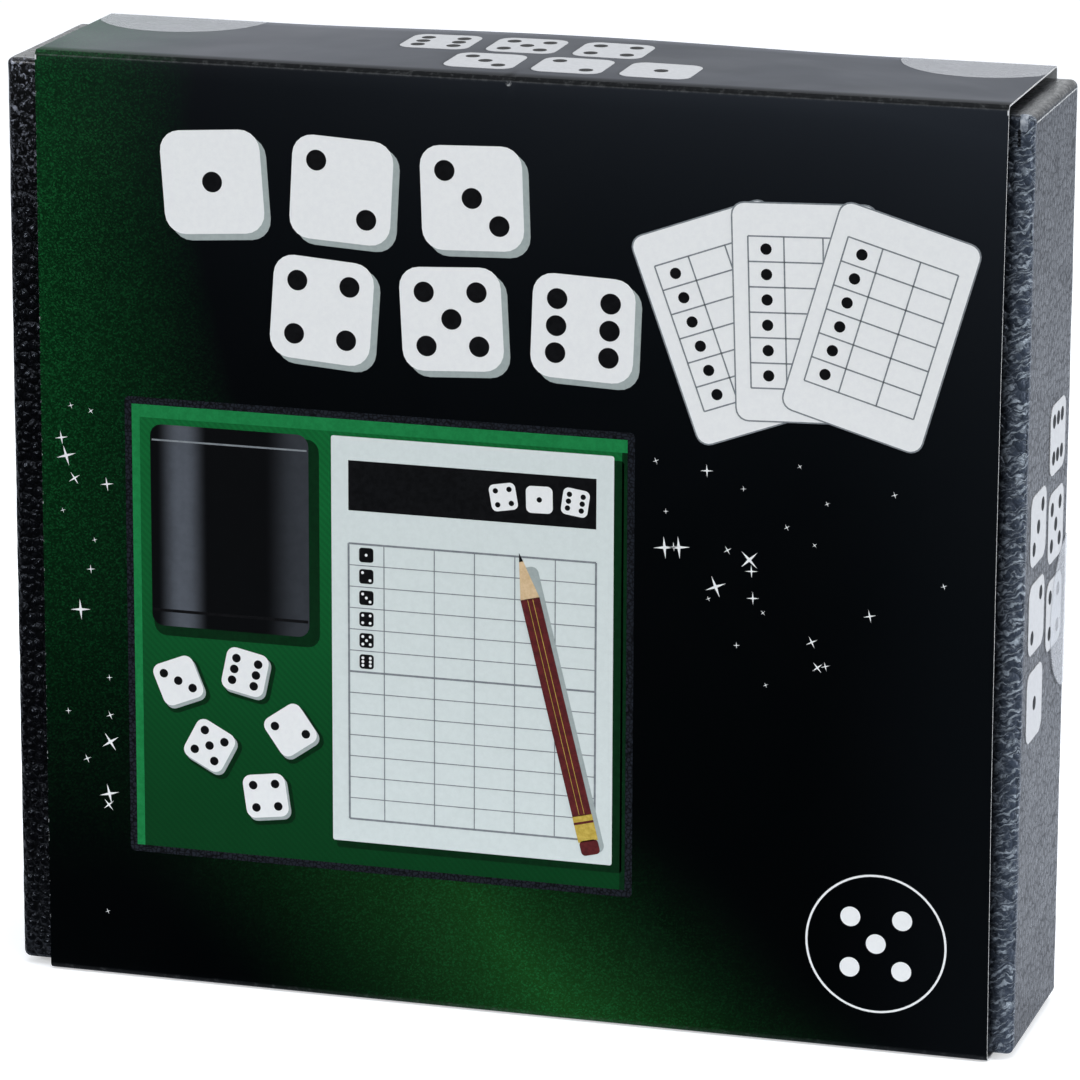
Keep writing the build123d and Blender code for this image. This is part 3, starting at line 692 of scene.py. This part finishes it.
def smudged(shader, spot, reach, clean, touched, spread, gloss):
    """Gives a shader the colours and the roughness of a handled surface: the marks, for its relief."""
    marks = use(handling, spot, Reach=reach)
    wire(tones(marks["Smudge"], srgb(*clean), srgb(*touched)), shader, "Base Color")
    wire(ramp(marks["Smudge"], spread, gloss), shader, "Roughness")
    return marks


barrel_low, barrel_high = box_mm("pencil_barrel")
barrel_axis = (barrel_low + barrel_high) / 2
pencil_lacquer, shader, spot = new_finish("pencil_lacquer_and_wood", 0.3, 0.5)
from_axis = add(pencil_lacquer.node_tree, "VectorMath", {0: spot, 1: (barrel_axis.x, barrel_axis.y, 0.0)},
                operation="SUBTRACT").outputs[0]
on_flat = 0.0
for facing in (30, 90, 150):
    flat_way = (cos(radians(facing)), sin(radians(facing)), 0.0)
    reach = add(pencil_lacquer.node_tree, "VectorMath", {0: from_axis, 1: flat_way}, operation="DOT_PRODUCT")
    on_flat = calc("MAXIMUM", on_flat, calc("ABSOLUTE", reach.outputs["Value"]))
painted = between(on_flat, 3.44, 3.49)
wood_grain = cloud(stretched(spot, (2.2, 2.2, 0.18)), 1.0, 4.0)
bare_wood = tones(between(wood_grain, 0.35, 0.65), srgb(196, 152, 108), srgb(224, 190, 146))
marks = use(handling, spot, Reach=6.0)
lacquer = tones(times(marks["Smudge"], 0.6), srgb(86, 24, 28), srgb(66, 18, 22))
lacquer = tones(times(marks["Scratch"], 0.35), lacquer, srgb(126, 66, 60))
wire(tones(painted, bare_wood, lacquer), shader, "Base Color")
gloss = ramp(marks["Smudge"], 0.12, 0.2)
bare = calc("SUBTRACT", 1.0, painted)
wire(ramp(bare, 0.5, gloss), shader, "Roughness")
relief(shader, times(wood_grain, bare), 0.4, 0.1)
dress(pencil_lacquer, "pencil_barrel")

graphite, shader, spot = new_finish("graphite", 0.38, 0.6)
smudged(shader, spot, 0.4, (38, 39, 42), (66, 68, 72), 0.2, 0.3)
dress(graphite, "pencil_lead")

brass, shader, spot = new_finish("ferrule_brass", 0.25, 0.5, {"Metallic": 1.0})
marks = smudged(shader, spot, 2.0, (222, 188, 96), (190, 152, 66), 0.2, 0.16)
relief(shader, marks["Scratch"], 0.15, 0.03)
dress(brass, "pencil_ferrule")

rubber = fibrous("eraser_rubber", 0.8, 0.25, felt_fuzz, 0.3, (172, 84, 76), (196, 108, 98), 0.4, 0.1)
dress(rubber, "pencil_eraser")

# Dice: five cast white plastic cubes with rounded edges, tumbled to a soft gloss. Their dished pips are painted
# black.
dice_white, shader, spot = new_finish(
    "dice_white", 0.22, 0.5, {"Subsurface Weight": 0.08, "Coat Weight": 0.25, "Coat Roughness": 0.12})
shader.inputs["Subsurface Radius"].default_value = (0.0015, 0.0013, 0.001)
marks = smudged(shader, spot, 7.0, (236, 236, 230), (228, 228, 222), 0.16, 0.16)
relief(shader, marks["Scratch"], 0.06, 0.02)
dress(dice_white, *[f"die_{k}" for k in range(1, 6)])

pip_black, shader, spot = new_finish("pip_black", 0.3, 0.5)
fuzz = use(felt_fuzz, spot, Fibre=0.4)
wire(tones(fuzz["Tone"], srgb(10, 10, 11), srgb(24, 24, 26)), shader, "Base Color")
wire(ramp(fuzz["Tone"], 0.25, 0.22), shader, "Roughness")
relief(shader, fuzz["Height"], 0.2, 0.05)
dress(pip_black, *[f"die_{k}_pips" for k in range(1, 6)])

# Shaker cup: a flattened round cup of stiff board covered in smooth black leather, turned over at the lip, on a
# thicker leather base, with a dark felt lining that keeps the dice quiet.
cup_leather, shader, spot = new_finish("cup_leather", 0.38, 0.45)
grain = use(leather_grain, spot, Pebble=0.55)
marks = use(handling, spot, Reach=14.0)
leather_tone = tones(grain["Patch"], srgb(18, 18, 21), srgb(30, 30, 34))
# The grain's creases are painted darker: painted shade in the creases.
wire(tones(times(grain["Crease"], 0.7), leather_tone, srgb(6, 6, 8)), shader, "Base Color")
wire(ramp(marks["Smudge"], 0.18, 0.28), shader, "Roughness")
relief(shader, grain["Height"], 0.35, 0.1)
dress(cup_leather, "cup_cover", "cup_base")

cup_board = fibrous("cup_core_board", 0.9, 0.2, paper_fibre, 1.0, (128, 118, 104), (158, 148, 132), 0.5, 0.1)
dress(cup_board, "cup_core")

cup_felt = fibrous("cup_felt", 0.95, 0.1, felt_fuzz, 0.28, (20, 20, 23), (44, 44, 49),
                   0.8, 0.25, {"Sheen Weight": 0.25, "Sheen Tint": (0.6, 0.6, 0.65, 1.0)})
felt_low, felt_high = box_mm("cup_lining")
felt_middle = (felt_low + felt_high) / 2
felt_round = (felt_high.y - felt_low.y) / 2
felt_straight = (felt_high.x - felt_low.x) / 2 - felt_round


def cup_loop(inset, z, unevenness):
    """Points round the flattened outline of the cup's lining, drawn in by an inset."""
    loop = []
    for side, facing in ((1, -90), (-1, 90)):
        for k in range(25):
            turn = radians(facing + 180 * k / 24)
            loop.append((side * felt_straight, turn))
        for k in range(1, 16):
            loop.append((side * felt_straight * (1 - 2 * k / 16), radians(facing + 180)))
    points = []
    for shift, turn in loop:
        radius = felt_round - inset
        place = Vector((shift + radius * cos(turn), radius * sin(turn), z))
        stray = unevenness * (1 + noise.noise(place / felt_dip_length))
        place -= stray * Vector((cos(turn), sin(turn), 0))
        points.append(cup_lining.verts.new((place + Vector((felt_middle.x, felt_middle.y, 0))) / 1000))
    return points


cup_lining = bmesh.new()
felt_thick = 0.8
felt_bottom, felt_top = felt_low.z, felt_high.z
heights = [felt_bottom + felt_thick + (felt_top - felt_bottom - felt_thick) * k / 28 for k in range(29)]
lining_rings = [cup_loop(0.0, felt_bottom, 0.0), cup_loop(0.0, felt_top, 0.0)]
lining_rings += [cup_loop(felt_thick, z, 0.0 if z == felt_top else felt_dip) for z in reversed(heights)]
close_ends(cup_lining, lining_rings)
cup_felt_lining = make_piece("cup_felt_lining", cup_lining, "shaker_cup", "cup_felt", cup_felt)
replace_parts(cup_felt_lining, "cup_lining")

# Sleeve: one sheet of white-cored card, printed black with green glows and laminated satin. It is scored and folded
# into a tube, joined by a flap glued under its top panel, with two score lines close together at the top front fold.
front_low, front_high = box_mm("sleeve_front_panel")
sleeve_left, sleeve_right = front_low.x, front_high.x
sleeve_front, sleeve_back = front_low.y, box_mm("sleeve_back_panel")[1].y
sleeve_top = front_high.z
sleeve_length = sleeve_right - sleeve_left
card = 0.3
fold = 1.0


def folded(y, z, facing):
    """Points round one plain fold: its middle, and the way that it starts to face."""
    turns = [radians(facing - 90 * k / 5) for k in range(6)]
    return [(y + fold * cos(a), z + fold * sin(a)) for a in turns]


def run(start, end, count):
    """Points between two places on the sleeve's outline, without the places themselves."""
    return [(start[0] + (end[0] - start[0]) * k / count, start[1] + (end[1] - start[1]) * k / count)
            for k in range(1, count)]


outline = folded(sleeve_front + fold, fold, 270)
score = [(0.0, -0.75), (0.05, -0.62), (0.10, -0.55), (0.55, -0.10), (0.62, -0.05), (0.75, 0.0)]
score = [(sleeve_front + y, sleeve_top + z) for y, z in score]
outline += run(outline[-1], score[0], 48) + score
back_fold = folded(sleeve_back - fold, sleeve_top - fold, 90)
outline += run(score[-1], back_fold[0], 12) + back_fold
foot_fold = folded(sleeve_back - fold, fold, 0)
outline += run(back_fold[-1], foot_fold[0], 48) + foot_fold
outline += run(foot_fold[-1], outline[0], 12)

nick = 0.5
end_bow, end_bow_start = 0.40, 45
top_bow, top_bow_middle, top_bow_reach, top_bow_depth = 0.65, 2, 52, 50
lengths = [0.0, 0.25] + [sleeve_length * k / 96 for k in range(1, 96)] + [sleeve_length - 0.25, sleeve_length]
lengths += [nick - sleeve_left + step for step in (-1.3, -0.8, -0.4, 0.0, 0.4, 0.8, 1.3)]
lengths = sorted(lengths)


def card_place(x, y, z):
    """Where a point of the flat-panelled sleeve lies on the real one, whose card is a little bowed."""
    shift_x = shift_y = shift_z = 0.0
    if x > end_bow_start:
        from_start = (x - end_bow_start) / (sleeve_right - end_bow_start)
        shift_x -= end_bow * from_start ** 2 * sin(pi * z / sleeve_top)
    middle = max(0.0, 1 - ((x - top_bow_middle) / top_bow_reach) ** 2) ** 2
    depth_share = min(1.0, max(0.0, (y - sleeve_front) / (sleeve_back - sleeve_front)))
    height_share = min(1.0, max(0.0, (z - sleeve_top + top_bow_depth) / top_bow_depth))
    shift_z += top_bow * middle * depth_share * height_share ** 2
    dent = max(0.0, 1 - abs(x - nick) / 1.1) * max(0.0, 1 - hypot(y - sleeve_front - 0.4, z - sleeve_top + 0.5) / 1.6)
    shift_y += 0.30 * dent
    shift_z -= 0.28 * dent
    return Vector((x + shift_x, y + shift_y, z + shift_z))


tube = bmesh.new()
count = len(outline)
outer_rings, inner_rings = [], []
for length in lengths:
    outer, inner = [], []
    for k, (y, z) in enumerate(outline):
        before, after = outline[k - 1], outline[(k + 1) % count]
        a = Vector((y - before[0], z - before[1])).normalized()
        b = Vector((after[0] - y, after[1] - z)).normalized()
        inward = Vector((a.y + b.y, -a.x - b.x)).normalized()
        depth = card / max(0.7, inward.dot(Vector((b.y, -b.x))))
        x, inner_y, inner_z = sleeve_left + length, y + inward.x * depth, z + inward.y * depth
        outer.append(tube.verts.new(card_place(x, y, z) / 1000))
        inner.append(tube.verts.new(card_place(x, inner_y, inner_z) / 1000))
    outer_rings.append(outer)
    inner_rings.append(inner)
PRINTED, RAW = range(2)
bridge(tube, outer_rings, PRINTED)
bridge(tube, inner_rings, RAW)
for end in (0, -1):
    bridge(tube, [outer_rings[end], inner_rings[end]], RAW)

sleeve_print, shader, spot = new_finish(
    "sleeve_print", 0.42, 0.05, {"Specular Tint": (0.84, 0.88, 1.0, 1.0), "Sheen Weight": 0.42,
                                 "Sheen Roughness": 0.25, "Sheen Tint": (0.78, 0.84, 1.0, 1.0)})
axis = apart(spot)
stray = cloud(spot, 0.03)
across = calc("DIVIDE", calc("SUBTRACT", axis["X"], sleeve_left), sleeve_length)
down = calc("DIVIDE", calc("SUBTRACT", sleeve_top, axis["Z"]), sleeve_top)
on_front = between(axis["Y"], sleeve_front + 0.5, sleeve_front + 1.4, 1.0, 0.0)
glow_across = ramp(stray, 0.06, calc("SUBTRACT", across, 0.03))
glow_width = ramp(times(down, down), 0.5, 0.165)
left_glow = calc("SUBTRACT", 1.0, calc("DIVIDE", glow_across, glow_width), clamp=True)
left_glow = times(left_glow, between(down, 0.3, 0.93, 1.0, 0.0))
foot_across = calc("SUBTRACT", glow_across, ramp(down, 0.97, -0.39))
foot_reach = calc("MAXIMUM", calc("DIVIDE", foot_across, 0.34), calc("DIVIDE", foot_across, -0.4))
foot_glow = calc("POWER", calc("SUBTRACT", 1.0, foot_reach, clamp=True), 2.0)
foot_level = times(between(down, 0.72, 0.88), between(down, 0.86, 1.0, 0.84, 1.2, "LINEAR"))
foot_glow = times(foot_glow, foot_level, on_front)
speck = add(sleeve_print.node_tree, "TexVoronoi", {"Vector": spot, "Scale": 4.4}).outputs["Color"]
speck = calc("POWER", add(sleeve_print.node_tree, "SeparateColor", {0: speck}).outputs[0], 3.0)
speck = times(calc("MAXIMUM", left_glow, foot_glow), speck)
# The front's black ink is painted lighter towards the top and the right, most of all at the top right corner, and not
# on the top fold: a painted reflection haze.
painted_reflection = times(between(across, 0.0, 1.0, 0.19, 0.93, "LINEAR"), calc("EXPONENT", times(down, -5.5)))
painted_reflection = calc("ADD", painted_reflection, between(across, 0.8, 1.0, 0.0, 0.12))
top_light = times(calc("POWER", across, 2.0), calc("EXPONENT", times(down, -45.0)))
painted_reflection = ramp(top_light, 0.5, painted_reflection)
painted_reflection = times(painted_reflection, between(axis["Z"], sleeve_top - 0.9, sleeve_top - 0.6, 1.0, 0.0))
black_ink_and_painted_reflection = tones(times(painted_reflection, on_front), srgb(0, 2, 3), srgb(33, 37, 43))
print_and_painted_reflection = tones(times(left_glow, 0.19), black_ink_and_painted_reflection, srgb(0, 84, 28))
print_and_painted_reflection = tones(times(foot_glow, 0.38), print_and_painted_reflection, srgb(30, 90, 30))
print_and_painted_reflection = tones(times(speck, 0.44), print_and_painted_reflection, srgb(26, 108, 54))
fold_y = calc("SUBTRACT", calc("ABSOLUTE", axis["Y"]), sleeve_back - 0.95)
fold_z = calc("SUBTRACT", away(axis["Z"], sleeve_top / 2), sleeve_top / 2 - 0.95)
on_fold = between(calc("MINIMUM", fold_y, fold_z), -0.25, 0.3)
near_end = calc("MINIMUM", calc("SUBTRACT", axis["X"], sleeve_left), calc("SUBTRACT", sleeve_right, axis["X"]))
scuff = cloud(spot, 1.1, 5.0, Roughness=0.7)
end_scuff = times(between(near_end, 0.04, 0.16, 1.0, 0.0), between(scuff, 0.58, 0.7, 0.0, 0.8))
fold_scuff = times(on_fold, between(scuff, 0.5, 0.75, 0.01, 0.07))
chip_z = away(axis["Z"], sleeve_top - 1.2)
chip = times(between(near_end, 0.14, 0.3, 1.0, 0.0), between(chip_z, 0.28, 0.5, 1.0, 0.0))
fold_scuff = calc("MAXIMUM", fold_scuff, times(chip, on_front))
# A faint pale line along the top front score is painted as highlight on the crease ridge. The tear by the nick joins
# it, which is real wear.
score_highlight_and_tear = away(axis["Z"], sleeve_top - 0.72)
score_highlight_and_tear = times(between(score_highlight_and_tear, 0.06, 0.18, 1.0, 0.0), on_front)
score_highlight_and_tear = times(score_highlight_and_tear, between(scuff, 0.35, 0.7, 0.03, 0.09))
tear_x = ramp(scuff, 1.6, calc("SUBTRACT", axis["X"], nick + 0.8))
tear_z = calc("SUBTRACT", axis["Z"], sleeve_top - 1.1)
tear = calc("SQRT", calc("ADD", times(tear_x, tear_x), times(tear_z, tear_z)))
tear = times(between(tear, 0.35, 0.55, 1.0, 0.0), between(scuff, 0.42, 0.58, 0.05, 0.5))
score_highlight_and_tear = calc("MAXIMUM", score_highlight_and_tear, times(tear, on_front))
wear = calc("MAXIMUM", calc("MAXIMUM", end_scuff, fold_scuff), score_highlight_and_tear)
wire(tones(wear, print_and_painted_reflection, srgb(196, 199, 202)), shader, "Base Color")
marks = use(handling, spot, Reach=30.0)
wire(ramp(marks["Smudge"], 0.1, 0.38), shader, "Roughness")
card_swell = cloud(spot, 0.035)
relief(shader, ramp(scuff, 0.012, card_swell), 0.25, 1.2)

raw_card = fibrous("raw_card", 0.85, 0.2, paper_fibre, 0.8, (182, 184, 186), (204, 206, 208), 0.4, 0.06)
sleeve = make_piece("sleeve_card", tube, "sleeve", "sleeve_print", sleeve_print, raw_card)
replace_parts(sleeve, "sleeve_front_panel", "sleeve_back_panel", "sleeve_top_panel", "sleeve_bottom_panel")

flap_low, flap_high = box_mm("sleeve_glue_flap")
flap = bmesh.new()
flap_rings = []
for z in (flap_low.z, flap_high.z):
    corners = [(flap_low.x + 9, flap_low.y), (flap_high.x - 9, flap_low.y), (flap_high.x - 3, flap_high.y),
               (flap_low.x + 3, flap_high.y)]
    flap_rings.append([flap.verts.new((x / 1000, y / 1000, z / 1000)) for x, y in corners])
close_ends(flap, flap_rings)
glue_flap = make_piece("sleeve_trimmed_flap", flap, "sleeve", "sleeve_print", raw_card)
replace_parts(glue_flap, "sleeve_glue_flap")

# Front print, upper half: white die faces from one to six stand in two staggered rows at the left, and a fan of
# three blank score cards at the right, with small four-pointed glints round it.


def panel(across, down):
    """A place on the front panel, from its left and top edges."""
    return sleeve_left + across, sleeve_top - down


def glint(reach):
    """A four-pointed glint round the middle."""
    arms = [reach, reach * 0.17] * 4
    return [(arm * cos(pi * k / 4), arm * sin(pi * k / 4)) for k, arm in enumerate(arms)]


ink_dusk = new_ink("ink_dusk", (150, 160, 160), (158, 168, 168))
upper_ink = bmesh.new()
CARD_WHITE, CARD_BLACK, CARD_GREY, CARD_DUSK = range(4)
die_print = 17.5
for k, tilt in enumerate((4, -3, 2, -4, 3, -2)):
    step, row = k % 3, k // 3
    x, z = panel(31 + 22.5 * step + 19 * row, 20.5 + 20.5 * row)
    lay_ink(upper_ink, turned(oblong(die_print, die_print, 3.5), x + 1.1, z - 1.0, tilt), sleeve_front, 1, CARD_DUSK)
    lay_die_face(upper_ink, k + 1, x, z, die_print, sleeve_front, 2, CARD_WHITE, CARD_BLACK, tilt)
fan_foot = panel(134, 76)
fan_reach = 40
card_row = 4.2
for k, degrees in enumerate((20, 2, -16)):
    lean = radians(90 + degrees)
    x, z = fan_foot[0] + fan_reach * cos(lean), fan_foot[1] + fan_reach * sin(lean)
    level = 1 + 3 * k
    lay_ink(upper_ink, turned(oblong(24.5, 36.5, 2.2), x, z, degrees), sleeve_front, level, CARD_GREY)
    lay_ink(upper_ink, turned(oblong(24, 36, 2), x, z, degrees), sleeve_front, level + 1, CARD_WHITE)
    marks = [(oblong(19, 0.25), 0.0, 12.6 - card_row * row, degrees, CARD_GREY) for row in range(7)]
    marks += [(oblong(0.25, 25.2), column, 0.0, degrees, CARD_GREY) for column in (-9.5, -3.5, 3.0, 9.5)]
    marks += [(round_spot(0.95, 16), -6.5, 10.5 - card_row * row, 0.0, CARD_BLACK) for row in range(6)]
    for shape, px, pz, turn, tone in marks:
        mark_x, mark_z = turned([(px, pz)], x, z, degrees)[0]
        lay_ink(upper_ink, turned(shape, mark_x, mark_z, turn), sleeve_front, level + 2, tone)
scatter = Random(7)
for k in range(26):
    x, z = panel(scatter.uniform(104, 161), scatter.uniform(60, 100))
    size = scatter.choice([0.5, 0.6, 0.8, 1.1, 1.9])
    lay_ink(upper_ink, turned(glint(size), x, z, scatter.uniform(0, 45)), sleeve_front, 1, CARD_WHITE)
make_piece("front_print_upper", upper_ink, "sleeve", "sleeve_print", ink_white, ink_black, ink_grey, ink_dusk)

# Front print, lower half: a picture of an open felt-lined tray with a cup, dice, a pencil and a score pad in it, and
# a thin white ring with five spots at the right.
ink_leather, shader, spot = new_finish("ink_leather", 0.45, 0.1)
grain = use(leather_grain, spot, Pebble=0.7)
wire(tones(grain["Crease"], srgb(30, 34, 42), srgb(8, 9, 13)), shader, "Base Color")
relief(shader, grain["Height"], 0.05, 0.03)

ink_felt, shader, spot = new_finish("ink_felt", 0.45, 0.1)
axis = apart(spot)
fuzz = use(felt_fuzz, spot, Fibre=0.3)
rib = add(ink_felt.node_tree, "TexWave", {"Vector": spot, "Scale": 0.5, "Distortion": 0.4},
          bands_direction="DIAGONAL")
felt_shade = between(axis["Z"], sleeve_top - 138, sleeve_top - 60)
felt_print = tones(felt_shade, srgb(1, 58, 24), srgb(10, 104, 50))
felt_print = tones(times(fuzz["Tone"], 0.4), felt_print, srgb(2, 72, 32))
wire(tones(times(rib.outputs["Fac"], 0.22), felt_print, srgb(0, 40, 16)), shader, "Base Color")

ink_cup, shader, spot = new_finish("ink_cup", 0.45, 0.1)
axis = apart(spot)
fibre = use(paper_fibre, spot, Fibre=2.0)
cup_span = calc("DIVIDE", calc("SUBTRACT", axis["X"], sleeve_left + 19.5), 28.0)
cup_shine = away(cup_span, 0.2)
cup_shine = between(cup_shine, 0.02, 0.16, 0.7, 0.0)
cup_shine = calc("MAXIMUM", cup_shine, between(cup_span, 0.72, 0.95, 0.0, 0.28))
cup_print = tones(cup_shine, srgb(8, 10, 13), srgb(96, 102, 112))
wire(tones(times(fibre["Tone"], 0.15), cup_print, srgb(4, 5, 7)), shader, "Base Color")

ink_shade = new_ink("ink_shade", (0, 38, 15), (1, 46, 19))
ink_lit = new_ink("ink_lit", (16, 112, 58), (24, 126, 68))
ink_maroon = new_ink("ink_maroon", (76, 28, 31), (98, 36, 38))
ink_wood = new_ink("ink_wood", (196, 168, 130), (212, 186, 150))
ink_brass = new_ink("ink_brass", (170, 146, 58), (196, 172, 84))
ink_paper = new_ink("ink_paper", (203, 212, 212), (208, 217, 217))
lower_ink = bmesh.new()
LEATHER, FELT, SHADE, PAPER, BLACK, GREY, WHITE, CUP, MAROON, WOOD, BRASS, DUSK, LIT = range(13)


def lay(points, across, down, level, tone, degrees=0.0):
    """One shape of the lower print, at a place on the front panel."""
    lay_ink(lower_ink, turned(points, *panel(across, down), degrees), sleeve_front, level, tone)


lay(oblong(89, 80, 0.8), 59.5, 98, 1, LEATHER)
lay(oblong(86.5, 77.5), 59.5, 98, 2, FELT)
lay(oblong(86.5, 2.2), 59.5, 60.35, 3, LIT)
lay(oblong(1.4, 75.3), 16.95, 99.1, 3, LIT)
lay(oblong(0.9, 75.3), 102.3, 99.1, 3, SHADE)
lay(oblong(50, 71, 0.6), 77.2, 98.4, 3, SHADE)
lay(oblong(49, 70.5, 0.4), 76.0, 97.4, 4, PAPER)
lay(oblong(43, 8.6), 76.0, 70.5, 5, BLACK)
for k, number in enumerate((4, 1, 6)):
    lay_die_face(lower_ink, number, *panel(81.5 + 6.2 * k, 70.5), 4.6, sleeve_front, 6, WHITE, BLACK, 10 - 9 * k)
for k in range(14):
    lay(oblong(43, 0.34 if k in (0, 6, 13) else 0.16), 76.0, 80.5 + 3.7 * k, 5, GREY)
for k, column in enumerate((0, 6.2, 15, 22, 29, 36, 43)):
    lay(oblong(0.34 if k in (0, 6) else 0.16, 48.1), 54.5 + column, 104.55, 6, GREY)
for k in range(6):
    lay_die_face(lower_ink, k + 1, *panel(57.6, 82.35 + 3.7 * k), 2.5, sleeve_front, 6, BLACK, WHITE)

pencil_tilt = 14
pencil_c, pencil_s = cos(radians(pencil_tilt)), sin(radians(pencil_tilt))


def lay_on_pencil(points, along, level, tone):
    """One shape of the printed pencil, at a distance along it from its middle."""
    lay(points, 90.5 - along * pencil_s, 105.0 - along * pencil_c, level, tone, pencil_tilt)


lay_on_pencil(turned(oblong(3.2, 50, 1.2), 0.9, -0.9), -0.8, 7, DUSK)
lay_on_pencil(oblong(3.4, 38), -1.0, 8, MAROON)
lay_on_pencil(oblong(1.0, 37.6), -1.0, 9, BRASS)
lay_on_pencil(oblong(0.8, 37.8), -1.0, 10, MAROON)
lay_on_pencil([(-1.7, -3.5), (1.7, -3.5), (0.35, 3.0), (-0.35, 3.0)], 21.4, 8, WOOD)
lay_on_pencil([(-0.35, -0.6), (0.35, -0.6), (0.0, 0.9)], 25.0, 8, BLACK)
lay_on_pencil(oblong(3.5, 4.6), -22.2, 8, BRASS)
lay_on_pencil(oblong(3.5, 0.4), -21.2, 9, MAROON)
lay_on_pencil(oblong(3.3, 2.6, 0.7), -25.6, 8, MAROON)

lay(oblong(29.5, 36, 2.2), 34.6, 81.2, 3, SHADE)
lay(oblong(28, 35, 2.0), 33.5, 80.0, 4, CUP)
lay(oblong(27.4, 0.3), 33.5, 65.2, 5, GREY)
lay(oblong(27.6, 0.5), 33.5, 94.8, 5, BLACK)
for number, across, down, degrees in ((3, 24, 107, 22), (6, 36, 104.5, -12), (2, 44, 114, 35), (5, 29.5, 118, -28),
                                      (4, 39.5, 126, 8)):
    lay(oblong(8.2, 8.2, 1.7), across + 0.9, down + 0.9, 3, SHADE, degrees)
    lay(oblong(7.6, 7.6, 1.5), across + 0.45, down + 0.5, 4, DUSK, degrees)
    lay_die_face(lower_ink, number, *panel(across, down), 7.6, sleeve_front, 5, WHITE, BLACK, degrees)

ring_across, ring_down = 146, 142
ring_radius, ring_width = 12.0, 0.36
rims = []
for r, y in ((ring_radius, sleeve_front - ink_step), (ring_radius - ring_width, sleeve_front - ink_step),
             (ring_radius - ring_width, sleeve_front + ink_sink), (ring_radius, sleeve_front + ink_sink)):
    rims.append([lower_ink.verts.new((x / 1000, y / 1000, z / 1000))
                 for x, z in turned(round_spot(r, 72), *panel(ring_across, ring_down))])
bridge(lower_ink, rims + rims[:1], WHITE)
for px, pz in pip_places[5]:
    lay(round_spot(1.7), ring_across + 4.4 * px, ring_down + 4.4 * pz, 1, WHITE)
for k in range(18):
    size = scatter.choice([0.5, 0.6, 0.8, 1.2, 1.8])
    lay(glint(size), scatter.uniform(3, 12), scatter.uniform(60, 150), 1, WHITE, scatter.uniform(0, 45))
make_piece("front_print_lower", lower_ink, "sleeve", "sleeve_print", ink_leather, ink_felt, ink_shade, ink_paper,
           ink_black, ink_grey, ink_white, ink_cup, ink_maroon, ink_wood, ink_brass, ink_dusk, ink_lit)

# Edge prints: the six die faces again, smaller, printed on the sleeve's top panel to be read from behind, and
# stamped in white foil up the tray's right wall.
top_print_x = 2
wall_print_z = 80
edge_die = 12


def on_top_panel(along, across, out):
    """A place on the sleeve's top panel, for a print whose head is towards the front."""
    place = card_place(top_print_x - along, -across, sleeve_top)
    return place + Vector((0, 0, out + 0.05 if out > 0 else out))


def on_right_wall(along, across, out):
    """A place on the tray's right wall, for a print that runs upwards."""
    return Vector((tray_high.x + (out + 0.08 if out > 0 else -0.1), -across, wall_print_z + along))


ink_pale = new_ink("ink_pale", (182, 184, 188), (190, 192, 196))
for name, body, slot, laid in (("top_panel_print", "sleeve", "sleeve_print", on_top_panel),
                               ("right_wall_print", "tray", "leatherette", on_right_wall)):
    edge_ink = bmesh.new()
    for k in range(6):
        step, row = k % 3, k // 3
        lay_die_face(edge_ink, k + 1, 15 * (step - 1) + 12 * (row - 0.5), 7 - 14 * row, edge_die, 0, 1, 0, 1)
    for point in edge_ink.verts:
        along, inward, across = point.co * 1000
        point.co = laid(along, across, -inward) / 1000
    make_piece(name, edge_ink, body, slot, ink_pale, ink_black)

# Seals: round stickers of clear film. Two are folded over the sleeve's top back edge, and one over the tray's right
# back edge, slit where the sleeve ends.
seal_film, shader, spot = new_finish("clear_seal_film", 0.2, 0.5, {"Alpha": 0.26})
marks = smudged(shader, spot, 5.0, (221, 225, 232), (228, 231, 238), 0.2, 0.12)
relief(shader, marks["Smudge"], 0.1, 0.04)
dress(seal_film, "seal_side", "seal_side_back")
seal_reach = 15.0
seal_columns = 16
film_faces = (0.02, 0.06)
seal_rows = [seal_reach * cos(radians(turn)) for turn in (1.5, 4, 8, 13, 19, 26, 34, 43, 52, 61, 70, 79)] + [fold]
for name in ("seal_top_left", "seal_top_right"):
    seal_low, seal_high = box_mm(name)
    middle = seal_high.x - seal_reach if seal_low.x < 0 else seal_low.x + seal_reach
    film = bmesh.new()
    layers = []
    for lift in film_faces:
        flat = fold + lift
        round_fold = [(fold, radians(90 - 18 * k)) for k in range(1, 5)]
        line = [(d, (sleeve_back - d, sleeve_top + lift)) for d in seal_rows]
        line += [(d, (sleeve_back - fold + flat * cos(a), sleeve_top - fold + flat * sin(a))) for d, a in round_fold]
        line += [(d, (sleeve_back + lift, sleeve_top - d)) for d in reversed(seal_rows)]
        layer = []
        for d, (y, z) in line:
            half = sqrt(seal_reach ** 2 - d ** 2)
            left, right = max(middle - half, sleeve_left), min(middle + half, sleeve_right)
            layer.append([film.verts.new(card_place(left + (right - left) * k / seal_columns, y, z) / 1000)
                          for k in range(seal_columns + 1)])
        layers.append(layer)
    for layer in layers:
        for row, next_row in zip(layer, layer[1:]):
            for k in range(seal_columns):
                film.faces.new((row[k], row[k + 1], next_row[k + 1], next_row[k]))
    bridge(film, [layer[0] + [row[-1] for row in layer[1:]] + layer[-1][-2::-1] + [row[0] for row in layer[-2:0:-1]]
                  for layer in layers])
    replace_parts(make_piece("film_" + name[5:], film, "sleeve", "seal_film", seal_film), name)
